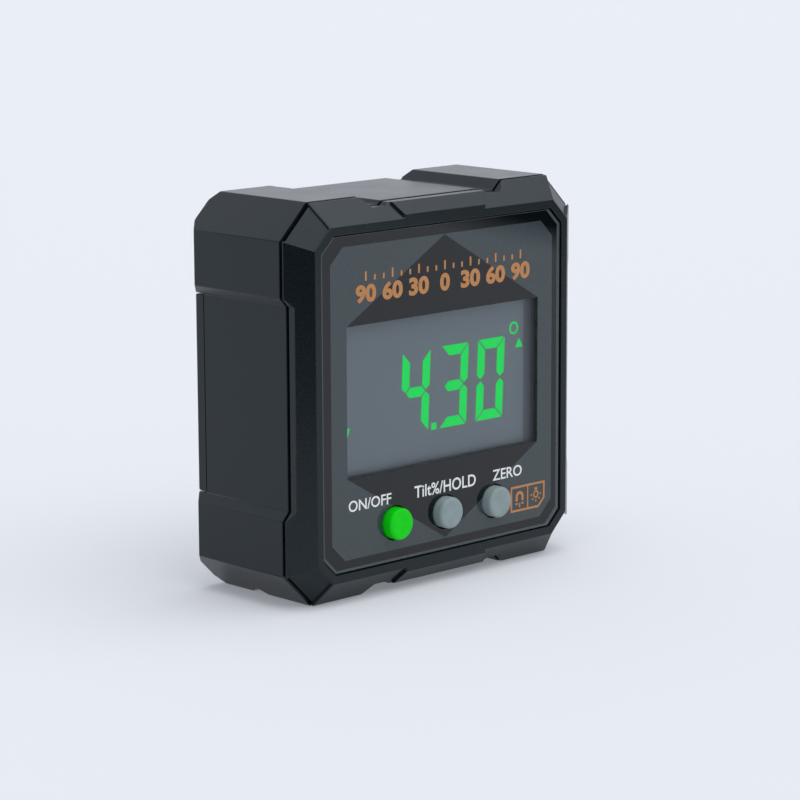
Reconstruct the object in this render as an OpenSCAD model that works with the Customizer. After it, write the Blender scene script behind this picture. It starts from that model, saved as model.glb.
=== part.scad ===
// Digital angle gauge: a square pocket instrument that reads the tilt of what it stands on.
// It is built as the real one is: two moulded shells, a clear front panel, three keys over
// switches on a circuit board, a display module, two cells behind a door, and base magnets.
// Millimetres. X runs to the right, Y to the rear, Z up. The feet stand on Z = 0.

/* [Overall size] */
// Width of the case from side to side
body_w = 57; // [51:0.5:66]
// Height of the case from the feet to the top
body_h = 57; // [51:0.5:66]
// Depth from the button faces to the face of the battery door
overall_d = 25; // [22.5:0.5:32]
// Leg of the 45 degree cuts at the four corners
corner_leg = 5; // [4:0.5:6]

/* [Corner blocks] */
// Depth of the long recess in each side
side_recess = 1.15; // [0.8:0.05:1.5]
// Length of the corner blocks along each side
side_block = 12.9; // [11:0.1:14]
// Run of the slope from a corner block down into the side recess
side_slope = 1.25; // [0.8:0.05:2]
// Depth of the recess in the top and in the base
top_recess = 1.45; // [1:0.05:1.8]
// Length of the corner blocks along the top and the base
top_block = 14.3; // [13.5:0.1:16]
// Distance from the corner blocks to the raised pad in the top and base recesses
pad_side = 4.6; // [3:0.1:6]
// Height of that pad above the floor of its recess
pad_rise = 0.48; // [0.2:0.02:0.8]

/* [Shells] */
// Wall of the two shells
wall = 1.8; // [1.5:0.1:2.1]
// Depth of the front cover from the seam to its rim
cover_d = 3.5; // [3.2:0.1:5]
// Width of the shadow gap at the seam
seam_gap = 0.5; // [0.2:0.05:0.7]
// Inset of the cover's outline from that of the case
cover_step = 0.1; // [0.05:0.05:0.2]
// Upright band on the cover between the seam and its chamfer
cover_band = 0.15; // [0.1:0.05:0.9]
// Inset of the rim from the outline of the case
rim_inset = 3.45; // [3:0.05:4]
// How far the four corner facets of the cover are sunk
facet_sink = 0.35; // [0.2:0.05:0.5]
// Border left beside a sunk corner facet and at its front end
facet_border = 0.25; // [0.2:0.05:0.6]
// How far the middle strip of the top and base chamfers stands out of them
strip_rise = 0.38; // [0.2:0.02:0.5]
// How much that strip is shorter than the pad at each end
strip_end = 0.45; // [0.2:0.05:1]
// Lean of the ends of that strip, in degrees
strip_slant = 33; // [20:1:40]
// Bevel around the rear face of the case
rear_bevel = 1.1; // [0.6:0.1:1.6]
// Depth that the locating lips of the cover reach into the case
lip_d = 1.4; // [1:0.1:2]
// Thickness of the locating lips
lip_t = 1; // [0.8:0.1:1.2]

/* [Front panel] */
// Inset of the clear panel from the outline of the case
lens_inset = 4.6; // [4.4:0.05:5.2]
// Thickness of the clear panel
lens_t = 1; // [0.8:0.1:1.5]
// How far the panel lies below the rim
lens_sunk = 0.32; // [0.1:0.02:0.5]
// Thickness of the adhesive frame behind the panel
tape_t = 0.2; // [0.1:0.05:0.3]
// Width of the border of the adhesive frame
tape_border = 1.6; // [1:0.1:2]
// Thickness of the wall that carries the panel
panel_t = 1.2; // [1:0.1:1.6]
// Side clearance of the panel in its pocket
lens_clear = 0.08; // [0.04:0.02:0.2]

/* [Display] */
// Width of the case that is left beside the display glass, both sides together
lcd_side = 15; // [14:0.1:17]
// Height of the case that is left above and below the display glass together
lcd_end = 32; // [31.4:0.1:34]
// Border of the display glass that the window hides at each side
window_side = 1.25; // [1:0.05:4]
// Border of the display glass that the window hides above and below
window_end = 1.1; // [1:0.1:3]
// Thickness of the wall that frames the window, in front of the display
window_wall = 0.4; // [0.3:0.05:1]
// Height of the middle of the display above the middle of the case
lcd_rise = 0.2; // [0:0.1:1]
// Thickness of the display glass
glass_t = 1.6; // [1.4:0.1:2]
// Thickness of the light guide behind the glass
backlight_t = 2.4; // [2:0.1:3]
// Depth of the contact edge at the foot of the glass
contact_edge = 2.7; // [2.4:0.1:3.2]
// Wall of the display frame
frame_t = 0.8; // [0.6:0.1:1]

/* [Buttons] */
// Diameter of the buttons
button_d = 4.6; // [4.2:0.1:5.2]
// Distance between neighbouring buttons
button_pitch = 10; // [9:0.1:10.6]
// Height of the buttons above the base
button_z = 10.3; // [9.8:0.1:10.8]
// How far the buttons stand out of the panel
button_proud = 1.6; // [0.8:0.1:1.8]
// Rounding of the front edge of a button
button_round = 0.5; // [0.2:0.05:0.8]
// Travel of a button
button_travel = 0.4; // [0.2:0.05:0.4]
// Clearance around a button
button_clear = 0.25; // [0.2:0.05:0.4]
// Thickness of the flange that keeps a button in
flange_t = 0.8; // [0.6:0.1:1]
// Width of that flange beyond the button
flange_w = 0.9; // [0.6:0.1:1]
// Side of a switch body
switch_w = 4.5; // [4:0.1:5]
// Height of a switch body above the board
switch_h = 1.6; // [1.4:0.1:1.8]
// Diameter of a switch plunger
plunger_d = 2.2; // [1.8:0.1:2.6]

/* [Circuit board] */
// Thickness of the circuit board
board_t = 1.2; // [0.8:0.1:1.6]
// Clearance between the board and the walls of the case
board_clear = 0.75; // [0.5:0.05:1]
// Radius of the bosses that carry the board
board_boss_r = 2; // [1.8:0.1:2.2]
// Shank diameter of the board screws
board_screw_d = 1.8; // [1.6:0.1:2]
// Length of the board screws in their bosses
board_screw_grip = 2.6; // [2:0.1:2.9]

/* [Case screws] */
// Shank diameter of the case screws
screw_d = 2; // [1.8:0.1:2.2]
// Head diameter of the case screws
screw_head_d = 3.6; // [3.2:0.1:3.8]
// Head height of the case screws
screw_head_h = 1.4; // [1:0.1:1.8]
// Length of the screw bosses of the cover beyond the seam
boss_len = 5; // [4:0.2:6]
// Radius of those bosses
boss_r = 2.3; // [2.1:0.1:2.4]
// Thickness of the case under a screw head
screw_seat = 4; // [3:0.2:6]
// Length of screw in the boss
screw_grip = 5.4; // [4:0.2:5.6]

/* [Batteries] */
// Diameter of a cell as a share of the depth of the gauge
cell_share = 0.42; // [0.4:0.002:0.424]
// Width of the case that is left beside the battery bay, both sides together
bay_side = 8.5; // [8.4:0.1:11]
// Diameter of the button at the positive end of a cell
cell_tip_d = 3.8; // [3:0.1:5]
// Height of that button
cell_tip_h = 0.8; // [0.6:0.1:1.2]
// Clearance around a cell
cell_clear = 0.3; // [0.2:0.05:0.35]
// Wall in front of the cells
bay_wall = 1.2; // [1:0.1:1.5]
// Thickness of a contact plate
plate_t = 0.4; // [0.3:0.05:0.5]
// Width of a contact tail that runs to the board
tail_w = 2; // [1.5:0.1:3]
// Length of a contact spring under load
spring_l = 3; // [2.6:0.1:3.2]
// Wire of a contact spring
spring_wire = 0.5; // [0.4:0.05:0.6]
// Turns of a contact spring
spring_turns = 4; // [3:0.5:5]

/* [Battery door] */
// How far the door stands out of the rear face of the case
door_raise = 1.07; // [1:0.01:2]
// Depth of the door's edge that shows in the side recesses
door_skirt = 1.65; // [1.3:0.05:2.4]
// Thickness of the door
door_t = 1.4; // [1.2:0.1:1.6]
// Gap around the door
door_gap = 0.12; // [0.08:0.02:0.3]
// Depth of the locating ribs inside the door
door_rib = 0.6; // [0.3:0.1:0.7]
// Number of grooves in the thumb grip
grip_count = 5; // [3:1:7]
// Distance between those grooves
grip_pitch = 1.6; // [1.4:0.1:2]

/* [Base] */
// Diameter of the base magnets
magnet_d = 5; // [4:0.1:5.4]
// Thickness of the base magnets
magnet_t = 2; // [1.5:0.1:2.1]
// How far the magnets lie above the base plane
magnet_sunk = 0.1; // [0.05:0.05:0.2]
// Distance from the pipe groove to the middle of the rear magnets
magnet_rear = 4.8; // [4.6:0.1:5]
// Distance from the pipe groove to the middle of the front magnets
magnet_front = 6.2; // [5:0.1:7]
// Width of the V groove across the base
groove_w = 3.4; // [2:0.1:4]
// Depth of the V groove
groove_d = 0.9; // [0.6:0.05:1.1]
// Distance of the V groove from the seam
groove_y = 10.4; // [9.5:0.1:10.8]

/* [Hidden] */
$fn = 64;

// Small working distances
past = 1;
touch = 0.05;
slip = 0.03;
play = 0.1;
half_w = body_w / 2;
mid_z = body_h / 2;
inset_leg = 2 - sqrt(2);
pad_w = body_w - 2 * (top_block + pad_side);

// Stations along the depth, from the button faces to the door
y_button = -overall_d / 2;
y_lens = y_button + button_proud;
y_rim = y_lens - lens_sunk;
y_seam = y_rim + cover_d;
y_cover_back = y_seam - seam_gap;
y_band = y_cover_back - cover_band;
y_pocket = y_lens + lens_t + tape_t;
y_panel = y_pocket + panel_t;
y_door = overall_d / 2;
y_back = y_door - door_raise;
y_seat = y_back - door_skirt;

// Chamfer of the cover: how far it runs in and forward, and the length of its slope
chamfer_in = rim_inset - cover_step;
chamfer_d = y_band - y_rim;
chamfer_l = norm([chamfer_in, chamfer_d]);

// Display stack behind the panel wall
lcd_w = body_w - lcd_side;
lcd_h = body_h - lcd_end;
window_w = lcd_w - 2 * window_side;
window_h = lcd_h - 2 * window_end;
lcd_z = mid_z + lcd_rise;
y_glass = y_pocket + window_wall + play;
y_guide = y_glass + glass_t;
y_board = y_guide + backlight_t;
y_board_back = y_board + board_t;
lcd_clear = 0.1;
frame_out = lcd_clear + frame_t;

// Inside of the shells
inner_half_w = half_w - side_recess - wall;
inner_z0 = top_recess + wall;
land_inset = 2 * wall / 3;

// Case screws stand clear of the side wall, the floor and the corner wall
boss_clear = 0.25;
boss_reach = boss_r + boss_clear;
screw_x = inner_half_w - boss_reach;
screw_z = max(inner_z0 + boss_reach, sqrt(2) * (wall + boss_reach) + corner_leg - half_w + screw_x);
y_split = y_seam + boss_len;
y_head = y_split + screw_seat;
post_wall = 0.7;
post_r = boss_r + post_wall;
head_clear = 0.3;

// Board screws stand between the case screws and the display frame
notch_clear = 0.3;
boss_space = 1;
board_screw_inset = 2;
board_notch = boss_reach + notch_clear;
board_screw_x = screw_x - board_screw_inset;
board_screw_z = screw_z + boss_reach + board_boss_r + boss_space;
board_head_d = 3.4;
board_head_h = 1.2;
board_hole_clear = 0.2;

// Parts on the rear of the board: places beside the middle of the display, and sizes
chip_x = 4;
chip_size = [7, 1, 7];
sensor_x = -8;
sensor_size = [4, 0.9, 4];
crystal_x = 12;
crystal_size = [1.6, 0.8, 3.2];
capacitor_count = 4;
capacitor_x = -2;
capacitor_pitch = 4;
capacitor_rise = 7;
capacitor_size = [0.8, 0.7, 1.6];

// Buttons and switches
hole_r = button_d / 2 + button_clear;
y_flange = y_panel + touch;
y_flange_back = y_flange + flange_t;
y_switch = y_board - switch_h;
plunger_in = 0.7;
bore_end = y_switch + plunger_in + button_travel + touch;

// Cells, door and bay
cell_d = overall_d * cell_share;
cell_y = y_door - door_t - cell_clear - cell_d / 2;
cell_z = (cell_d + cell_clear) / 2;
bay_l = body_w - bay_side;
cell_l = bay_l - spring_l - 2 * plate_t - 2 * play;
bay_h = 2 * cell_d + 3 * cell_clear;
y_bay = cell_y - cell_d / 2 - cell_clear;
door_half_w = half_w - side_recess;
door_z0 = side_block + side_slope;
cell_shift = (spring_l + play) / 2;
rib_t = 0.8;
grip_l = 12;
grip_depth = 0.45;

// Base
foot_x0 = half_w - top_block;
foot_x1 = half_w - corner_leg;
magnet_x = (foot_x0 + foot_x1) / 2;
groove_mid = y_seam + groove_y;

// Extrusions of outlines drawn in the front view, the side view and the plan
module along_y(y0, y1) {
    translate([0, y1, 0]) rotate([90, 0, 0]) linear_extrude(height = y1 - y0) children();
}
module along_x(x0, x1) {
    translate([x0, 0, 0]) rotate([90, 0, 90]) linear_extrude(height = x1 - x0) children();
}
module along_z(z0, z1) {
    translate([0, 0, z0]) linear_extrude(height = z1 - z0) children();
}
// Round bar along the depth, at a place in the front view
module bar_y(x, z, r, y0, y1) {
    translate([x, y1, z]) rotate([90, 0, 0]) cylinder(h = y1 - y0, r = r);
}
// Block along the depth, by its half width and its lower and upper edge
module block_y(x, z0, z1, y0, y1) {
    translate([-x, y0, z0]) cube([2 * x, y1 - y0, z1 - z0]);
}
// Copies its child to the two screw heights on both sides
module at_corners(x, z) {
    for (side = [-1, 1], height = [z, body_h - z])
        translate([side * x, 0, height]) children();
}

// Front view of the case: an octagon, inset evenly
module octagon(inset = 0) {
    x = half_w - inset;
    leg = corner_leg - inset * inset_leg;
    z0 = inset;
    z1 = body_h - inset;
    polygon([
        [-x + leg, z0], [x - leg, z0], [x, z0 + leg], [x, z1 - leg],
        [x - leg, z1], [-x + leg, z1], [-x, z1 - leg], [-x, z0 + leg]
    ]);
}
// Recess in the right side, between the corner blocks
module side_recess_outline() {
    polygon([
        [half_w + past, side_block], [half_w, side_block], [half_w - side_recess, door_z0],
        [half_w - side_recess, body_h - door_z0], [half_w, body_h - side_block],
        [half_w + past, body_h - side_block]
    ]);
}
// Recess in the top, with its raised pad
module top_recess_outline() {
    floor_z = body_h - top_recess;
    foot = foot_x0 - top_recess;
    pad = pad_w / 2;
    polygon([
        [-foot_x0, body_h + past], [-foot_x0, body_h], [-foot, floor_z], [-pad - pad_rise, floor_z],
        [-pad, floor_z + pad_rise], [pad, floor_z + pad_rise], [pad + pad_rise, floor_z],
        [foot, floor_z], [foot_x0, body_h], [foot_x0, body_h + past]
    ]);
}
// Front view of the case with all four recesses, inset evenly
module case_outline(inset = 0) {
    difference() {
        octagon(inset);
        translate([-inset, 0]) side_recess_outline();
        mirror([1, 0]) translate([-inset, 0]) side_recess_outline();
        translate([0, -inset]) top_recess_outline();
        translate([0, body_h]) mirror([0, 1]) translate([0, -inset]) top_recess_outline();
    }
}
// Plain outline that lies inside all the recesses by a given inset
module inner_outline(inset) {
    intersection() {
        octagon(inset);
        x = half_w - side_recess - inset;
        z = top_recess + inset;
        translate([-x, z]) square([2 * x, body_h - 2 * z]);
    }
}

// Front cover: block with a chamfer on all sides, about the middle of the case
module chamfer_block(x, z) {
    intersection() {
        along_z(-z, z) polygon([
            [-x, y_cover_back], [-x, y_band], [-x + chamfer_in, y_rim],
            [x - chamfer_in, y_rim], [x, y_band], [x, y_cover_back]
        ]);
        along_x(-x, x) polygon([
            [y_cover_back, -z], [y_band, -z], [y_rim, -z + chamfer_in],
            [y_rim, z - chamfer_in], [y_band, z], [y_cover_back, z]
        ]);
    }
}
// Half the length of a corner cut at a given inset, less the border beside the facet
function facet_half(inset) = (corner_leg - inset * inset_leg) / sqrt(2) - facet_border;
// Sunk facet on one corner of the chamfer, open to the seam, in the frame turned by 45 degrees
module facet_cut(reach) {
    front = chamfer_l - facet_border;
    flare = (facet_half(cover_step) - facet_half(rim_inset)) / chamfer_l;
    back_half = facet_half(cover_step) + flare * past;
    front_half = facet_half(rim_inset) + flare * facet_border;
    translate([reach, y_band, 0]) rotate([0, 0, 180 + atan2(chamfer_d, chamfer_in)])
        translate([0, past, 0]) rotate([90, 0, 0]) linear_extrude(height = past + facet_sink) polygon([
            [-past, -back_half], [front, -front_half], [front, front_half], [-past, back_half]
        ]);
}
// Raised strip in the middle of the top chamfer, wider towards its outer edge
module chamfer_strip() {
    root_z = body_h - (rim_inset + lens_inset) / 2;
    foot_z = body_h - rim_inset + strip_rise * chamfer_l / chamfer_d;
    top_z = body_h - cover_step - top_recess + pad_rise;
    top_x = pad_w / 2 - strip_end;
    foot_x = top_x - (top_z - foot_z) * tan(strip_slant);
    y_top = y_rim + (top_z - foot_z) * chamfer_d / chamfer_in;
    intersection() {
        along_y(y_rim, y_cover_back) polygon([
            [-foot_x, root_z], [foot_x, root_z], [foot_x, foot_z],
            [top_x, top_z], [-top_x, top_z], [-foot_x, foot_z]
        ]);
        along_x(-top_x, top_x) polygon([
            [y_rim, root_z], [y_rim, foot_z], [y_top, top_z], [y_cover_back, top_z], [y_cover_back, root_z]
        ]);
    }
}
module cover_front() {
    reach = (half_w + mid_z - corner_leg) / sqrt(2) - cover_step;
    difference() {
        intersection() {
            along_y(y_rim, y_cover_back) case_outline(cover_step);
            translate([0, 0, mid_z]) chamfer_block(half_w - cover_step, mid_z - cover_step);
            translate([0, 0, mid_z]) rotate([0, 45, 0]) chamfer_block(reach, reach);
        }
        for (turn = [45 : 90 : 315])
            translate([0, 0, mid_z]) rotate([0, turn, 0]) facet_cut(reach);
    }
    chamfer_strip();
    translate([0, 0, body_h]) mirror([0, 0, 1]) chamfer_strip();
}
// Lips that locate the cover inside the case
module locating_lips() {
    side_x = inner_half_w - play;
    side_z = screw_z + boss_reach + boss_space;
    top_z = body_h - inner_z0 - play;
    top_x = screw_x - boss_reach - boss_space;
    lip_l = y_seam + lip_d - y_panel;
    for (turn = [0, 180]) translate([0, 0, mid_z]) rotate([0, turn, 0]) translate([0, 0, -mid_z]) {
        translate([side_x - lip_t, y_panel, side_z]) cube([lip_t, lip_l, body_h - 2 * side_z]);
        block_y(top_x, top_z - lip_t, top_z, y_panel, y_panel + lip_l);
    }
}
// Places of the three buttons along X
button_x = [-button_pitch, 0, button_pitch];
module front_cover() {
    color([0.13, 0.14, 0.15]) difference() {
        union() {
            difference() {
                union() {
                    cover_front();
                    along_y(y_band, y_seam) inner_outline(land_inset);
                }
                along_y(y_panel, y_seam + past) inner_outline(wall);
            }
            locating_lips();
            at_corners(screw_x, screw_z) bar_y(0, 0, boss_r, y_panel, y_split);
            at_corners(board_screw_x, board_screw_z) bar_y(0, 0, board_boss_r, y_panel, y_board);
        }
        along_y(y_rim - past, y_pocket) octagon(lens_inset);
        block_y(window_w / 2, lcd_z - window_h / 2, lcd_z + window_h / 2, y_pocket - past, y_panel + past);
        block_y(
            lcd_w / 2 + frame_out + play, lcd_z0 - frame_out - play, lcd_z1 + frame_out + play,
            y_glass - play, y_panel + past
        );
        for (x = button_x) bar_y(x, button_z, hole_r, y_pocket - past, y_panel + past);
        at_corners(screw_x, screw_z)
            bar_y(0, 0, screw_d / 2 + slip, y_split - screw_grip, y_split + past);
        at_corners(board_screw_x, board_screw_z)
            bar_y(0, 0, board_screw_d / 2 + slip, y_board - board_screw_grip - play, y_board + past);
    }
}

// Rear case: the outside, bevelled around the rear face
module case_outside() {
    b = rear_bevel;
    intersection() {
        along_y(y_seam, y_back) case_outline();
        along_x(-half_w, half_w) polygon([
            [y_seam, 0], [y_back - b, 0], [y_back, b],
            [y_back, body_h - b], [y_back - b, body_h], [y_seam, body_h]
        ]);
        along_z(0, body_h) polygon([
            [-half_w, y_seam], [-half_w, y_back - b], [-half_w + b, y_back],
            [half_w - b, y_back], [half_w, y_back - b], [half_w, y_seam]
        ]);
    }
}
// Walls of the battery bay and the ledge that the door sits on
module bay_walls() {
    x = inner_half_w + touch;
    bay_z0 = mid_z - bay_h / 2 - bay_wall;
    ledge_z0 = door_z0 - wall;
    block_y(x, bay_z0, body_h - bay_z0, y_bay - bay_wall, y_seat);
    block_y(x, ledge_z0, body_h - ledge_z0, y_seat - wall, y_back - wall + touch);
}
// Slot in the front wall of the bay for a contact tail
module tail_slot(z) {
    translate([-bay_l / 2 - plate_t - play, y_bay - bay_wall - past, z - tail_w / 2 - play])
        cube([2 * (plate_t + play), bay_wall + 2 * past, tail_w + 2 * play]);
}
module rear_case() {
    color([0.12, 0.13, 0.14]) difference() {
        intersection() {
            case_outside();
            union() {
                difference() {
                    case_outside();
                    along_y(y_seam - past, y_back - wall) inner_outline(wall);
                }
                bay_walls();
                at_corners(screw_x, screw_z) bar_y(0, 0, post_r, y_split, y_back);
            }
        }
        block_y(bay_l / 2, mid_z - bay_h / 2, mid_z + bay_h / 2, y_bay, y_back + past);
        block_y(half_w + past, door_z0, body_h - door_z0, y_seat, y_back + past);
        for (z = tails) tail_slot(z);
        at_corners(screw_x, screw_z) bar_y(0, 0, screw_d / 2 + head_clear, y_split - past, y_head + past);
        at_corners(screw_x, screw_z) bar_y(0, 0, screw_head_d / 2 + head_clear, y_head, y_back + past);
        for (place = magnets)
            translate([place[0], place[1], -past])
                cylinder(h = past + magnet_sunk + magnet_t, r = magnet_d / 2 + slip);
        along_x(-half_w - past, half_w + past) polygon([
            [groove_mid - groove_w / 2, 0], [groove_mid, groove_d], [groove_mid + groove_w / 2, 0],
            [groove_mid + groove_w / 2, -past], [groove_mid - groove_w / 2, -past]
        ]);
    }
}

// Battery door: a raised panel that fills the recess from side to side
module door_outside() {
    x = door_half_w;
    z0 = door_z0 + door_gap;
    z1 = body_h - z0;
    y0 = y_seat + touch;
    intersection() {
        along_z(z0, z1) polygon([
            [-x, y0], [-x, y_back], [-x + door_raise, y_door],
            [x - door_raise, y_door], [x, y_back], [x, y0]
        ]);
        along_x(-x, x) polygon([
            [y0, z0], [y_back, z0], [y_door, z0 + door_raise],
            [y_door, z1 - door_raise], [y_back, z1], [y0, z1]
        ]);
    }
}
// Two ribs that drop into the bay and keep the door in place
module door_ribs() {
    outer = bay_h / 2 - 2 * door_gap;
    for (turn = [0, 180]) translate([0, 0, mid_z]) rotate([0, turn, 0])
        block_y(bay_l / 2 - 2 * plate_t, outer - rib_t, outer, y_seat - door_rib, y_door - door_t + touch);
}
module battery_door() {
    hollow_x = bay_l / 2 + door_gap;
    hollow_z = bay_h / 2 + door_gap;
    grip_x = door_half_w - 2 * door_raise - grip_pitch;
    color([0.12, 0.13, 0.14]) union() {
        difference() {
            door_outside();
            block_y(hollow_x, mid_z - hollow_z, mid_z + hollow_z, y_seat - past, y_door - door_t);
            for (i = [0 : grip_count - 1])
                translate([grip_x - i * grip_pitch, y_door - grip_depth, mid_z - grip_l / 2])
                    cube([grip_pitch / 2, past, grip_l]);
        }
        door_ribs();
    }
}

// Clear front panel with its button holes
module lens_panel() {
    color([0.25, 0.28, 0.3, 0.6]) difference() {
        along_y(y_lens, y_lens + lens_t) octagon(lens_inset + lens_clear);
        for (x = button_x) bar_y(x, button_z, hole_r, y_lens - past, y_lens + lens_t + past);
    }
}
// Adhesive frame between the panel and the cover
module lens_tape() {
    bar = tape_border;
    bridge_z = button_z + hole_r + bar;
    color([0.05, 0.05, 0.05]) difference() {
        along_y(y_lens + lens_t, y_pocket) octagon(lens_inset + lens_clear);
        block_y(window_w / 2, lcd_z - window_h / 2, lcd_z + window_h / 2, y_lens, y_panel);
        along_y(y_lens, y_panel) intersection() {
            octagon(lens_inset + bar);
            translate([-half_w, lcd_z + window_h / 2 + bar]) square([body_w, body_h]);
        }
        block_y(window_w / 2, bridge_z - bar / 2, bridge_z, y_lens, y_panel);
        for (x = button_x) bar_y(x, button_z, hole_r, y_lens, y_panel);
    }
}

// One button: a rounded cap, its stem and the flange behind the panel wall
module button(x) {
    r = button_d / 2;
    h = y_flange - y_button + touch;
    translate([x, y_flange + touch, button_z]) rotate([90, 0, 0]) rotate_extrude() {
        square([r - button_round, h]);
        square([r, h - button_round]);
        translate([r - button_round, h - button_round]) intersection() {
            circle(r = button_round);
            square(button_round);
        }
    }
    bar_y(x, button_z, r + flange_w, y_flange, y_flange_back);
}
// Plunger of a switch, which follows its button
module plunger(x) {
    bar_y(x, button_z, plunger_d / 2, y_flange_back, y_switch + plunger_in);
}
// Body of a switch on the board
module switch_body(x) {
    half = switch_w / 2;
    difference() {
        translate([x, 0, 0]) block_y(half, button_z - half, button_z + half, y_switch, y_board);
        bar_y(x, button_z, plunger_d / 2 + touch, y_switch - past, bore_end);
    }
}
module power_button() { color([0.1, 0.8, 0.12]) button(button_x[0]); }
module hold_button() { color([0.55, 0.6, 0.6]) button(button_x[1]); }
module zero_button() { color([0.55, 0.6, 0.6]) button(button_x[2]); }
module power_plunger() { color([0.1, 0.1, 0.1]) plunger(button_x[0]); }
module hold_plunger() { color([0.1, 0.1, 0.1]) plunger(button_x[1]); }
module zero_plunger() { color([0.1, 0.1, 0.1]) plunger(button_x[2]); }
module power_switch() { color([0.75, 0.75, 0.72]) switch_body(button_x[0]); }
module hold_switch() { color([0.75, 0.75, 0.72]) switch_body(button_x[1]); }
module zero_switch() { color([0.75, 0.75, 0.72]) switch_body(button_x[2]); }

// Circuit board with its corners cut for the case screws
board_half_w = inner_half_w - board_clear;
board_z0 = inner_z0 + board_clear;
module board_outline() {
    x0 = screw_x - board_notch;
    x1 = board_half_w;
    z0 = board_z0;
    z1 = screw_z + board_notch;
    top = body_h;
    polygon([
        [-x0, z0], [x0, z0], [x0, z1], [x1, z1], [x1, top - z1], [x0, top - z1], [x0, top - z0],
        [-x0, top - z0], [-x0, top - z1], [-x1, top - z1], [-x1, z1], [-x0, z1]
    ]);
}
module circuit_board() {
    color([0.05, 0.3, 0.14]) difference() {
        along_y(y_board, y_board_back) board_outline();
        at_corners(board_screw_x, board_screw_z)
            bar_y(0, 0, board_screw_d / 2 + board_hole_clear, y_board - past, y_board_back + past);
    }
}
// A part soldered to the rear of the board, by its place beside the middle of the display
module on_board(x, rise, size) {
    translate([x - size[0] / 2, y_board_back, lcd_z + rise - size[2] / 2]) cube(size);
}
module controller_chip() { color([0.06, 0.06, 0.07]) on_board(chip_x, 0, chip_size); }
module tilt_sensor() { color([0.1, 0.1, 0.11]) on_board(sensor_x, 0, sensor_size); }
module timing_crystal() { color([0.75, 0.75, 0.76]) on_board(crystal_x, 0, crystal_size); }
module board_parts() {
    color([0.6, 0.5, 0.38]) for (i = [0 : capacitor_count - 1], row = [-1, 1])
        on_board(capacitor_x + i * capacitor_pitch, row * capacitor_rise, capacitor_size);
}

// Display module
lcd_z0 = lcd_z - lcd_h / 2;
lcd_z1 = lcd_z + lcd_h / 2;
module lcd_glass() {
    color([0.35, 0.38, 0.42]) block_y(lcd_w / 2, lcd_z0, lcd_z1, y_glass, y_guide);
}
module lcd_backlight() {
    color([0.85, 0.9, 0.85]) block_y(lcd_w / 2, lcd_z0 + contact_edge, lcd_z1, y_guide, y_board);
}
module lcd_frame() {
    x = lcd_w / 2;
    color([0.08, 0.08, 0.08]) difference() {
        block_y(x + frame_out, lcd_z0 - frame_out, lcd_z1 + frame_out, y_glass, y_board);
        block_y(x + lcd_clear, lcd_z0 - lcd_clear, lcd_z1 + lcd_clear, y_glass - past, y_board + past);
    }
}
module lcd_connector() {
    z0 = lcd_z0 + 2 * lcd_clear;
    z1 = lcd_z0 + contact_edge - 2 * lcd_clear;
    color([0.75, 0.35, 0.45]) block_y(lcd_w / 2 - contact_edge, z0, z1, y_guide, y_board);
}

// Cell with its positive button to the right, turned round for the other way
module cell(turn, z) {
    can_l = cell_l - cell_tip_h;
    translate([0, cell_y, z]) rotate([0, turn + 90, 0]) translate([0, 0, cell_shift - cell_l / 2]) {
        cylinder(h = can_l, d = cell_d);
        translate([0, 0, can_l - touch]) cylinder(h = cell_tip_h + touch, d = cell_tip_d);
    }
}
module battery_upper() { color([0.2, 0.22, 0.25]) cell(0, mid_z + cell_z); }
module battery_lower() { color([0.2, 0.22, 0.25]) cell(180, mid_z - cell_z); }

// Contact plates: tails on the left run forward to the board
tail_z = cell_d / 2;
tails = [mid_z + tail_z, mid_z - tail_z];
plate_h = cell_d - 2 * cell_clear;
module contact_plate(side, z, h) {
    x = side * (bay_l / 2 - plate_t / 2);
    translate([x - plate_t / 2, y_bay + touch, z - h / 2]) cube([plate_t, plate_h, h]);
}
module contact_tail(z) {
    translate([-bay_l / 2, y_board_back, z - tail_w / 2])
        cube([plate_t, y_bay + 2 * touch - y_board_back, tail_w]);
}
module negative_plate() {
    color([0.8, 0.78, 0.7]) union() {
        contact_plate(-1, mid_z + cell_z, plate_h);
        contact_tail(tails[0]);
    }
}
module positive_plate() {
    color([0.8, 0.78, 0.7]) union() {
        contact_plate(-1, mid_z - cell_z, plate_h);
        contact_tail(tails[1]);
    }
}
module bridge_plate() { color([0.8, 0.78, 0.7]) contact_plate(1, mid_z, bay_h - 2 * cell_clear); }

// Coil spring that narrows away from its plate, swept along its helix
spring_r0 = 3.4;
spring_r1 = 2.2;
spring_sides = 8;
spring_steps = 18;
function coil_point(t) = let (
    angle = 360 * spring_turns * t,
    r = spring_r0 + (spring_r1 - spring_r0) * t,
    rise = spring_wire / 2 + (spring_l - spring_wire) * t
) [r * cos(angle), r * sin(angle), rise];
function coil_ring(t) = let (
    angle = 360 * spring_turns * t,
    centre = coil_point(t),
    out = [cos(angle), sin(angle), 0]
) [for (k = [0 : spring_sides - 1])
    let (a = 360 * k / spring_sides) centre + spring_wire / 2 * (cos(a) * out + sin(a) * [0, 0, 1])];
module coil_spring() {
    count = round(spring_turns * spring_steps);
    rings = [for (i = [0 : count]) each coil_ring(i / count)];
    sides = [for (i = [0 : count - 1], k = [0 : spring_sides - 1])
        let (a = i * spring_sides + k, b = i * spring_sides + (k + 1) % spring_sides)
        [a, b, b + spring_sides, a + spring_sides]];
    first = [for (k = [spring_sides - 1 : -1 : 0]) k];
    last = [for (k = [0 : spring_sides - 1]) count * spring_sides + k];
    polyhedron(points = rings, faces = concat(sides, [first], [last]));
}
module contact_spring(side, z) {
    translate([side * (bay_l / 2 - plate_t - touch), cell_y, z]) rotate([0, -90 * side, 0]) coil_spring();
}
module negative_spring() { color([0.8, 0.8, 0.82]) contact_spring(-1, mid_z + cell_z); }
module bridge_spring() { color([0.8, 0.8, 0.82]) contact_spring(1, mid_z - cell_z); }

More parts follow.
